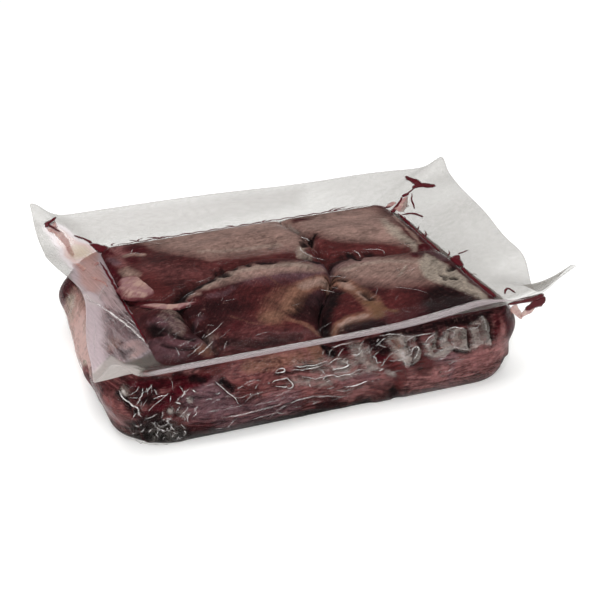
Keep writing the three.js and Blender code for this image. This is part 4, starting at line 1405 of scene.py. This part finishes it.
def pillow(grid, strip, seed):
    """Lays a box's grid out as a thin pillow along a strip's spine. Returns its points, and how near each
    one is to the strip's rim."""
    u, v, w = grid.T
    places = (u + 1) / 2 * (len(strip.spine) - 1)
    centre = through(strip.spine, places)
    ahead = through(strip.spine, np.minimum(places + 0.05, len(strip.spine) - 1))
    behind = through(strip.spine, np.maximum(places - 0.05, 0))
    up = unit(through(strip.normals, places))
    side = unit(np.cross(up, ahead - behind))
    half = np.maximum(through(strip.halves, places)[:, 0], 0.08)
    ends = np.sqrt(np.clip(1 - np.abs(u) ** (2 * strip.blunt), 0, 1))
    rough = 1 + 0.3 * noise(centre + 9 * side * np.sign(v)[:, None], 3.5, seed)
    points = centre + side * (v * half * ends * rough)[:, None]
    points += up * (strip.thick * 0.5 * w * np.sqrt(np.clip(1 - v**4, 0, 1)) * ends)[:, None]
    return points, np.clip(v**2 + np.abs(u) ** (2 * strip.blunt), 0, 1)


Strip = namedtuple("Strip", "spine normals halves thick blunt strength")


def flat_strip(spine, halves, thick, blunt=4, strength=1.0):
    """A strip that lies level."""
    return Strip(spine, np.tile([0.0, 0.0, 1.0], (len(spine), 1)), halves, thick, blunt, strength)


def add_strips(name, strips, material, seed, steps=10, across=5):
    """Joins strips to one piece, with steps faces for each point of a spine."""
    bm = bmesh.new()
    points, rims, strengths = [], [], []
    for count, strip in enumerate(strips):
        part = box_mesh("strip", (max(8, steps * len(strip.spine)), across, 1))
        laid, rim = pillow(read_points(part), strip, seed + count)
        points.append(laid)
        rims.append(rim)
        strengths.append(np.full(len(rim), strip.strength))
        bm.from_mesh(part)
        bpy.data.meshes.remove(part)
    mesh = finish_mesh(bm, name)
    write_points(mesh, np.vstack(points))
    add_attribute(mesh, "thin", np.concatenate(rims))
    add_attribute(mesh, "haze", np.concatenate(strengths))
    return add_piece(mesh, material)


def resampled(path, step=1.6):
    """Points at even steps along a smooth curve through a path."""
    path = np.array(path, float)
    span = np.hypot(*(path[1:] - path[:-1]).T).sum()
    return through(path, np.linspace(0, len(path) - 1, max(3, int(span / step))))


def nearest_on(surface, across, along, path, wobble, seed):
    """Places on a surface that lies under a path. across and along are the surface's own points on the
    plane that the path was measured on."""
    path = resampled(path)
    shake = np.column_stack([path, np.zeros(len(path))])
    path = path + wobble * np.column_stack([noise(shake, 3, seed), noise(shake, 3, seed + 1)])
    found = []
    for at_x, at_y in path:
        off = (across - at_x) ** 2 + (along - at_y) ** 2
        close = np.argpartition(off, 4)[:4]
        weight = 1 / (off[close] + 0.05)
        found.append((surface[close] * weight[:, None]).sum(axis=0) / weight.sum())
    return np.array(found)


def on_top_surface(path, sizes, lift):
    """The meat's surface under places on the crown's plane."""
    goal = np.array(path, float)
    z = np.full(len(goal), float(CROWN_PLANE))
    for _ in range(6):
        t = (z - SIGHT_SPOT[2]) / (CROWN_PLANE - SIGHT_SPOT[2])
        spot = SIGHT_SPOT[:2] + (goal - SIGHT_SPOT[:2]) * t[:, None]
        skewed = 1 - SKEW * spot[:, 1] / CREASE["right"]
        flat_x = np.where(spot[:, 0] > 0, spot[:, 0] / skewed, spot[:, 0])
        z = CREASE["z"] + top_rise(flat_x, spot[:, 1], sizes, sizes.valley / MM * 0.5)
    return np.column_stack([spot, z + lift])


def border_surface():
    """A fine grid of the border's points, and where each one lies on the crown's plane."""
    around, outward = BORDER_GRID
    outs = np.linspace(-0.02, BORDER_REACH, outward)
    turn, out = np.meshgrid(np.arange(around) / around, outs, indexing="ij")
    points = border_place(*round_square(turn.ravel()), out.ravel())
    return points, *on_crown_plane(points)


def on_border(turns, outs, lift=0.3):
    """Points on the border, by how far round it they lie and how far out from the crease."""
    points = border_place(*round_square(np.asarray(turns, float)), np.asarray(outs, float))
    return points + np.array([0, 0, lift])


class BEEF_OT_trimmings(bpy.types.Operator):
    """Make the piece of fat and the strip of tendon at the left"""

    bl_idname = "beef.make_trimmings"
    bl_label = "Make the fat and the tendon"

    def execute(self, context):
        sizes, colours = context.scene.beef_sizes, context.scene.beef_colours
        material = pale_fat("pale_fat", colours)
        for name, path, halves, thick in (
            ("fat_piece", FAT_PATH, FAT_HALVES, 3.4),
            ("tendon_strip", TENDON_PATH, TENDON_HALVES, 2.2),
        ):
            spine = on_top_surface(path, sizes, -thick / 2 - 0.1)
            add_strips(name, [flat_strip(spine, halves, thick, 3)], material, 71, 10, 15)
        return {"FINISHED"}


def hairs(rng, count, turns, reach):
    """Fine dark threads of juice that creep out from the crease into the border."""
    strips = []
    for _ in range(count):
        start, length = rng.uniform(*turns), rng.uniform(*reach)
        lean = rng.uniform(0.004, 0.013) * rng.choice((-1, 1))
        spine = on_border(start + lean * np.array([0, 0.4, 1]), length * np.array([0.1, 0.7, 1]))
        strips.append(flat_strip(spine, (0.7, 0.55, 0.1), 0.35, 4, rng.uniform(0.6, 1)))
    return strips


class BEEF_OT_juice(bpy.types.Operator):
    """Make the dark juice and its stains in the border"""

    bl_idname = "beef.make_juice"
    bl_label = "Make the juice"

    def execute(self, context):
        sizes, colours = context.scene.beef_sizes, context.scene.beef_colours
        thick = sizes.juice / MM
        dark = dark_juice("dark_juice", colours.juice, colours.blood, 0.95, 0.25)
        thin = dark_juice("thin_juice", colours.stain, colours.fat, 0.65, 0.0)
        border = border_surface()

        def laid(marks, lift, depth):
            for halves, *path in marks.values():
                spine = nearest_on(*border, path, 0.3, 80) + np.array([0, 0, lift])
                places = np.linspace(0, len(halves) - 1, len(spine))
                yield flat_strip(spine, through(halves, places)[:, 0], depth)

        rng = np.random.default_rng(5)
        seam = on_border(np.linspace(0.262, 0.487, 60), 0.012 + 0.01 * np.sin(np.arange(60) * 1.9))
        ragged = 0.5 + 0.5 * np.abs(noise(seam, 6, 78))
        fringe = [flat_strip(seam, ragged, 0.4)]
        fringe += hairs(rng, 12, (0.285, 0.487), (0.03, 0.09)) + hairs(rng, 10, (0.03, 0.23), (0.03, 0.1))
        add_strips("juice_in_border", list(laid(JUICE, 0.7, thick)), dark, 80, 3)
        add_strips("juice_fringe", fringe, dark, 140, 4, 2)
        add_strips("stains_in_border", list(laid(STAINS, 0.35, thick * 0.4)), thin, 200, 3)
        for name, marks, material in (
            ("juice_in_flap", DARK_FLAP, dark),
            ("stain_in_flap", PALE_FLAP, thin),
        ):
            flaps = []
            for halves, *spine in marks:
                normals = np.tile([0.0, -1.0, 0.0], (len(spine), 1))
                flaps.append(Strip(np.array(spine), normals, halves, 0.8, 5, 1.0))
            add_strips(name, flaps, material, 230)
        return {"FINISHED"}


# Film.


def film_wrinkles(points, share, sizes):
    """How far the walls' film stands off the block, in millimetres, how milky it is there and its tint. The
    milkiness is partly painted highlight and sheen.
    """
    x, y, z = points.T
    height = sizes.wrinkle / MM
    front_x, front_z = on_front_plane(points)
    warp = 0.4 * noise(points, 5, 27)
    raised, haze = fold_shape(front_x + warp, front_z + warp, WALL_FOLDS)
    visible = smooth_step(-y, 40, 62) * (1 - smooth_step(x, 112, 118))
    raised, haze = raised * visible, haze * visible
    total = 0.15 * creased(points, 6, 21) + 0.08 * creased(points, 2.6, 22)
    ragged = warp + 0.9 * noise(points, 2.6, 39)
    loose_and_sheen = visible * coverage(front_x + ragged, front_z - ragged, LOOSE_FILM)
    loose_and_sheen *= 1 - 0.95 * coverage(front_x + warp, front_z + warp, FILM_PARTINGS)
    crumple = creased(points, (8, 20, 10), 33, 0.6)
    total += loose_and_sheen * height * (0.9 + 1.2 * crumple + 0.5 * creased(points, (4, 9, 5), 36, 0.9))
    left_wall = smooth_step(-x, 104, 116) * coverage(front_x + warp, front_z + warp, TIGHT_FILM)
    drawn = 0.85 + 0.45 * noise(points, (3, 6, 30), 37) + 0.25 * noise(points, (2, 2.5, 14), 38)
    tight = left_wall * drawn
    sparkle = creased(points, (4.0, 5, 3.2), 24, 1.0)
    total += visible * bell(x + 103, 15) * (1 - smooth_step(z, 12, 26)) * height * 1.2 * sparkle
    around = np.arctan2(y, x) * 95
    corner = smooth_step(np.abs(x), 90, 118) * smooth_step(np.abs(y), 40, 72)
    total += corner * height * 0.9 * creased(np.column_stack([around, z * 0.3, z * 0]), (6, 9, 9), 28, 1.2)
    unseen = 1 - visible
    total += unseen * height * 0.7 * creased(np.column_stack([around, z, z * 0]), (9, 16, 9), 29, 1.5)
    total += raised
    # Painted highlights on the crumpled film low at the wall's front left, over its real crumple.
    haze = haze + 0.25 * visible * bell(x + 103, 13) * (1 - smooth_step(z, 12, 24)) * sparkle
    # Painted sheen: where the film stands off, milky satin stands for its shine.
    satin_sheen = loose_and_sheen * (0.34 + 0.36 * crumple + 0.18 * noise(points, (3, 6, 5), 35))
    total *= np.clip(np.sin(np.pi * share) * 2.5, 0, 1)
    return total, np.maximum.reduce([haze, satin_sheen, tight]), TIGHT_TINT * np.minimum(left_wall * 2, 1)


def scattered(rng, count, box, spans, lean, halves, haze):
    """Fine wrinkles strewn over a stretch of film: short bowed folds, most of them near one lean."""
    left, low, right, high = box
    folds = []
    for _ in range(count):
        middle = np.array([rng.uniform(left, right), rng.uniform(low, high)])
        turn, span = rng.normal(*lean), rng.uniform(*spans)
        ahead = np.array([math.cos(turn), math.sin(turn)]) * span / 2
        bow = np.array([-ahead[1], ahead[0]]) * rng.uniform(-0.35, 0.35)
        path = (tuple(middle - ahead), tuple(middle + bow), tuple(middle + ahead))
        folds.append(fold(rng.uniform(*halves), 0.7, rng.uniform(*haze), *path))
    return tuple(folds)


def film_creases():
    """The folds of the walls and the top with the fine wrinkles between them."""
    rng = np.random.default_rng(17)
    wall = WALL_FOLDS
    wall += scattered(rng, 44, (-116, 6, -86, 24), (1.5, 4.5), (0.9, 0.9), (0.4, 1.0), (0.2, 0.6))
    wall += scattered(rng, 16, (-98, 20, -80, 40), (3, 7), (0.9, 0.35), (0.5, 1.0), (0.25, 0.5))
    wall += scattered(rng, 14, (-122, 26, -100, 46), (3, 8), (0.9, 0.7), (0.3, 0.7), (0.25, 0.6))
    wall += scattered(rng, 56, (-78, 13, 104, 40), (4, 15), (0.1, 0.2), (0.6, 1.0), (0.08, 0.22))
    wall += scattered(rng, 34, (-18, 26, 50, 48), (2.5, 7), (0.6, 0.8), (0.5, 1.0), (0.2, 0.5))
    wall += scattered(rng, 30, (-148, 66, -124, 116), (6, 20), (1.9, 0.12), (0.4, 0.8), (0.2, 0.5))
    top = TOP_FOLDS
    top += scattered(rng, 34, (-94, -78, 92, 66), (5, 16), (0.9, 0.5), (0.25, 0.5), (0.1, 0.25))
    top += scattered(rng, 16, (-92, -76, -60, -20), (4, 12), (0.8, 0.4), (0.3, 0.6), (0.15, 0.35))
    return wall, top


def crisp_creases(points, skin, top):
    """The crisp creases of the film on the walls and on the top, as thin raised strips. skin and top say
    which of the film's points lie there."""
    strips = []
    wall_folds, top_folds = film_creases()
    for folds, plane, chosen in (
        (wall_folds, on_front_plane, skin & ((points[:, 1] < -40) | (points[:, 0] < -95))),
        (top_folds, on_crown_plane, top),
    ):
        surface = points[chosen]
        across, along = plane(surface)
        for count, item in enumerate(folds):
            if item.half > WIDE_FOLD:
                continue
            spine = nearest_on(surface, across, along, item.points, 0.35, 300 + 2 * count)
            normals = np.column_stack([outwards(spine), np.full(len(spine), 0.45)])
            if plane is on_crown_plane:
                normals = np.tile([0.0, 0.0, 1.0], (len(spine), 1))
            share = np.linspace(0, 1, len(spine))
            halves = item.half * 0.62 * (0.2 + 0.8 * np.sqrt(np.sin(np.pi * np.clip(share, 0.02, 0.98))))
            halves = halves * (0.75 + 0.5 * np.abs(noise(spine, 4, 320 + count)))
            spine = spine + unit(normals) * 0.2
            strips.append(Strip(spine, normals, halves, 0.5 * item.height, 6, item.haze))
    return strips


class BEEF_OT_pocket_film(bpy.types.Operator):
    """Make the clear film that shrank on to the meat"""

    bl_idname = "beef.make_pocket_film"
    bl_label = "Make the pocket film"

    def execute(self, context):
        sizes, colours = context.scene.beef_sizes, context.scene.beef_colours
        mesh = box_mesh("film_pocket", POCKET_CUTS, flat_base=True)
        across, along, height = read_points(mesh).T
        share = (height + 1) / 2
        points = pocket_place(across, along, share, sizes, sizes.valley / MM)
        skin = np.maximum(np.abs(across), np.abs(along)) > 0.9999
        off, wall_haze, blush = film_wrinkles(points, share, sizes)
        points[:, :2] += outwards(points) * np.where(skin, off, 0)[:, None]
        top = (share > 0.999) & ~skin
        plan_x, plan_y = on_crown_plane(points)
        raised, top_haze = fold_shape(plan_x, plan_y, TOP_FOLDS)
        lines = creased(np.column_stack([plan_x + 0.4 * plan_y, plan_y, plan_x * 0]), (16, 4, 9), 41, 1.4)
        points[:, 2] += np.where(top, raised + 0.22 * lines, 0)
        write_points(mesh, points)
        add_attribute(mesh, "haze", np.where(skin, wall_haze, np.where(top, top_haze, 0)))
        add_attribute(mesh, "blush", np.where(skin, blush, 0))
        material = clear_film(
            "shrunk_film", colours, colours.loose_and_sheen, (0.65, 0.95), slant_haze=0.0, gloss=0.14, break_up=0.6,
            straight=0.003, glancing=0.35, clearness=0.98, roughness=0.1, ripple=0.15,
        )
        add_piece(mesh, material)
        creases = crisp_creases(points, skin, top)
        add_strips("film_creases", creases, sharp_crease("creased_film", colours), 400, 3, 3)
        return {"FINISHED"}


class BEEF_OT_border(bpy.types.Operator):
    """Make the border of two welded webs, with its curled corners"""

    bl_idname = "beef.make_border"
    bl_label = "Make the film border"

    def execute(self, context):
        sizes, colours = context.scene.beef_sizes, context.scene.beef_colours
        mesh = sheet_mesh("film_border", *BORDER_CUTS)
        u, v = read_points(mesh)[:, :2].T
        turn, out = (u + 1) / 2, mix(-0.05, BORDER_REACH, (v + 1) / 2)
        across, along = round_square(np.where(turn > 0.99999, 0.0, turn))
        points = border_place(across, along, out)
        wave = 0.45 * noise(points, (40, 40, 60), 51)
        points[:, 2] += wave * np.sin(np.pi * np.clip(out, 0, 1))
        plan_x, plan_y = on_crown_plane(points)
        at_front = smooth_step(-along, 0.9, 1.0)
        milky = mix(0.29, 0.04, at_front) + 0.04 * noise(points, (45, 30, 30), 52)
        blush, streaky = np.zeros(len(points)), np.zeros(len(points))
        warp = 1.6 * noise(points, (7, 12, 9), 53)
        for milkiness, tint, streaks, mark in BORDER_ZONES:
            cover = coverage(plan_x + warp, plan_y + warp, (mark,))
            milky, blush = mix(milky, milkiness, cover), mix(blush, tint, cover)
            streaky = mix(streaky, streaks, cover)
        hem = at_front * smooth_step(out, 0.84, 0.9) * smooth_step(points[:, 0], -118, -104)
        hem *= 1 - smooth_step(points[:, 0], 100, 120)
        milky, blush, streaky = mix(milky, 0.3, hem), mix(blush, 0.3, hem), mix(streaky, 0.0, hem)
        write_points(mesh, points)
        add_attribute(mesh, "haze", np.clip(milky, 0, 1))
        add_attribute(mesh, "blush", blush)
        add_attribute(mesh, "streaky", streaky)
        bm = bmesh.new()
        bm.from_mesh(mesh)
        bmesh.ops.remove_doubles(bm, verts=bm.verts, dist=1e-6)
        bmesh.ops.recalc_face_normals(bm, faces=bm.faces)
        bmesh.ops.solidify(bm, geom=bm.faces[:], thickness=sizes.web)
        bm.to_mesh(mesh)
        bm.free()
        material = clear_film(
            "welded_film", colours, colours.border, (0.36, 0.6), slant_haze=0.05, gloss=0.1, break_up=0.12,
            straight=0.01, glancing=0.25, clearness=0.92, roughness=0.3, ripple=0.0,
        )
        add_piece(mesh, material)
        border = border_surface()
        # A painted highlight along the top of the front strip, over its real fold.
        hem = on_border(np.linspace(0.775, 0.975, 60), np.full(60, 0.905), 0.8)
        creases = [flat_strip(hem, 0.22 + 0.2 * np.abs(noise(hem, 14, 530)), 0.4, 6, 0.5)]
        for count, item in enumerate(BORDER_FOLDS):
            spine = nearest_on(*border, item.points, 0.25, 500 + 2 * count) + np.array([0, 0, 0.5])
            halves = item.half * 0.7 * (0.2 + 0.8 * np.sin(np.pi * np.linspace(0.05, 0.95, len(spine))))
            creases.append(flat_strip(spine, halves, 0.4, 6, item.haze))
        add_strips("border_creases", creases, sharp_crease("creased_border", colours), 520, 3, 3)
        return {"FINISHED"}


# Stage.

CAMERA_LENS = 84


def add_light(name, place, aim, size, power, tint="#ffffff"):
    data = bpy.data.lights.new(name, "AREA")
    data.shape = "RECTANGLE"
    data.size, data.size_y = size
    data.energy = power
    data.color = srgb(tint)
    light = bpy.data.objects.new(name, data)
    light.location = place
    light.rotation_euler = (Vector(aim) - Vector(place)).to_track_quat("-Z", "Y").to_euler()
    bpy.context.scene.collection.objects.link(light)


class BEEF_OT_stage(bpy.types.Operator):
    """Make the floor, the lights and the camera"""

    bl_idname = "beef.make_stage"
    bl_label = "Make the stage"

    def execute(self, context):
        scene = context.scene
        colours = scene.beef_colours
        bm = bmesh.new()
        bmesh.ops.create_grid(bm, x_segments=1, y_segments=1, size=6)
        bmesh.ops.translate(bm, verts=bm.verts, vec=(0, 0, -0.0004))
        mesh = bpy.data.meshes.new("floor")
        bm.to_mesh(mesh)
        bm.free()
        material, tree = new_material("pale_floor")
        surface = add_node(
            tree, "ShaderNodeBsdfPrincipled", **{"Base Color": rgba(colours.floor), "Roughness": 0.9}
        )
        surface.inputs["Specular IOR Level"].default_value = 0.1
        surface.inputs["Emission Color"].default_value = rgba(colours.floor)
        surface.inputs["Emission Strength"].default_value = 0.35
        add_node(tree, "ShaderNodeOutputMaterial", Surface=surface.outputs[0])
        mesh.materials.append(material)
        floor = bpy.data.objects.new("floor", mesh)
        scene.collection.objects.link(floor)

        world = bpy.data.worlds.new("studio")
        scene.world = world
        world.use_nodes = True
        world.node_tree.nodes.clear()
        sky = add_node(world.node_tree, "ShaderNodeBackground", Color=(1, 1, 1, 1), Strength=0.12)
        add_node(world.node_tree, "ShaderNodeOutputWorld", Surface=sky.outputs[0])
        add_light("overhead", (0, 0.1, 1.25), (0, 0, 0), (1.6, 1.2), 18)
        add_light("front", (0.05, -1.15, 0.8), (0, 0, 0.03), (0.9, 0.5), 6)
        add_light("left", (-1.2, -0.2, 0.4), (0, 0, 0.03), (0.5, 0.5), 7)
        add_light("key", (-0.3, -0.95, 0.95), (0, 0, 0.03), (0.14, 0.1), 2.2)

        data = bpy.data.cameras.new("camera")
        data.lens = CAMERA_LENS
        data.sensor_width = 36
        camera = bpy.data.objects.new("camera", data)
        camera.location = to_frame(SIGHT_SPOT)
        camera.rotation_euler = Vector(SIGHT_BACK).to_track_quat("Z", "Y").to_euler()
        scene.collection.objects.link(camera)
        scene.camera = camera
        scene.view_settings.view_transform = "Standard"
        return {"FINISHED"}


class BEEF_PT_panel(bpy.types.Panel):
    """Lists the steps that build the pack"""

    bl_idname = "BEEF_PT_panel"
    bl_label = "Beef Pack"
    bl_space_type = "VIEW_3D"
    bl_region_type = "UI"
    bl_category = "Beef Pack"

    def draw(self, context):
        for operator in OPERATORS:
            self.layout.operator(operator.bl_idname)
        for group in (context.scene.beef_sizes, context.scene.beef_colours):
            for name in group.__annotations__:
                self.layout.prop(group, name)


OPERATORS = (
    BEEF_OT_cheeks, BEEF_OT_trimmings, BEEF_OT_pocket_film, BEEF_OT_border, BEEF_OT_juice, BEEF_OT_stage,
)
CLASSES = (BeefPackSizes, BeefPackColours, *OPERATORS, BEEF_PT_panel)


def register():
    for cls in CLASSES:
        bpy.utils.register_class(cls)
    bpy.types.Scene.beef_sizes = bpy.props.PointerProperty(type=BeefPackSizes)
    bpy.types.Scene.beef_colours = bpy.props.PointerProperty(type=BeefPackColours)


def unregister():
    del bpy.types.Scene.beef_sizes
    del bpy.types.Scene.beef_colours
    for cls in reversed(CLASSES):
        bpy.utils.unregister_class(cls)


def main():
    register()
    bpy.ops.beef.make_cheeks()
    bpy.ops.beef.make_trimmings()
    bpy.ops.beef.make_pocket_film()
    bpy.ops.beef.make_border()
    bpy.ops.beef.make_juice()
    bpy.ops.beef.make_stage()


if __name__ == "__main__":
    main()
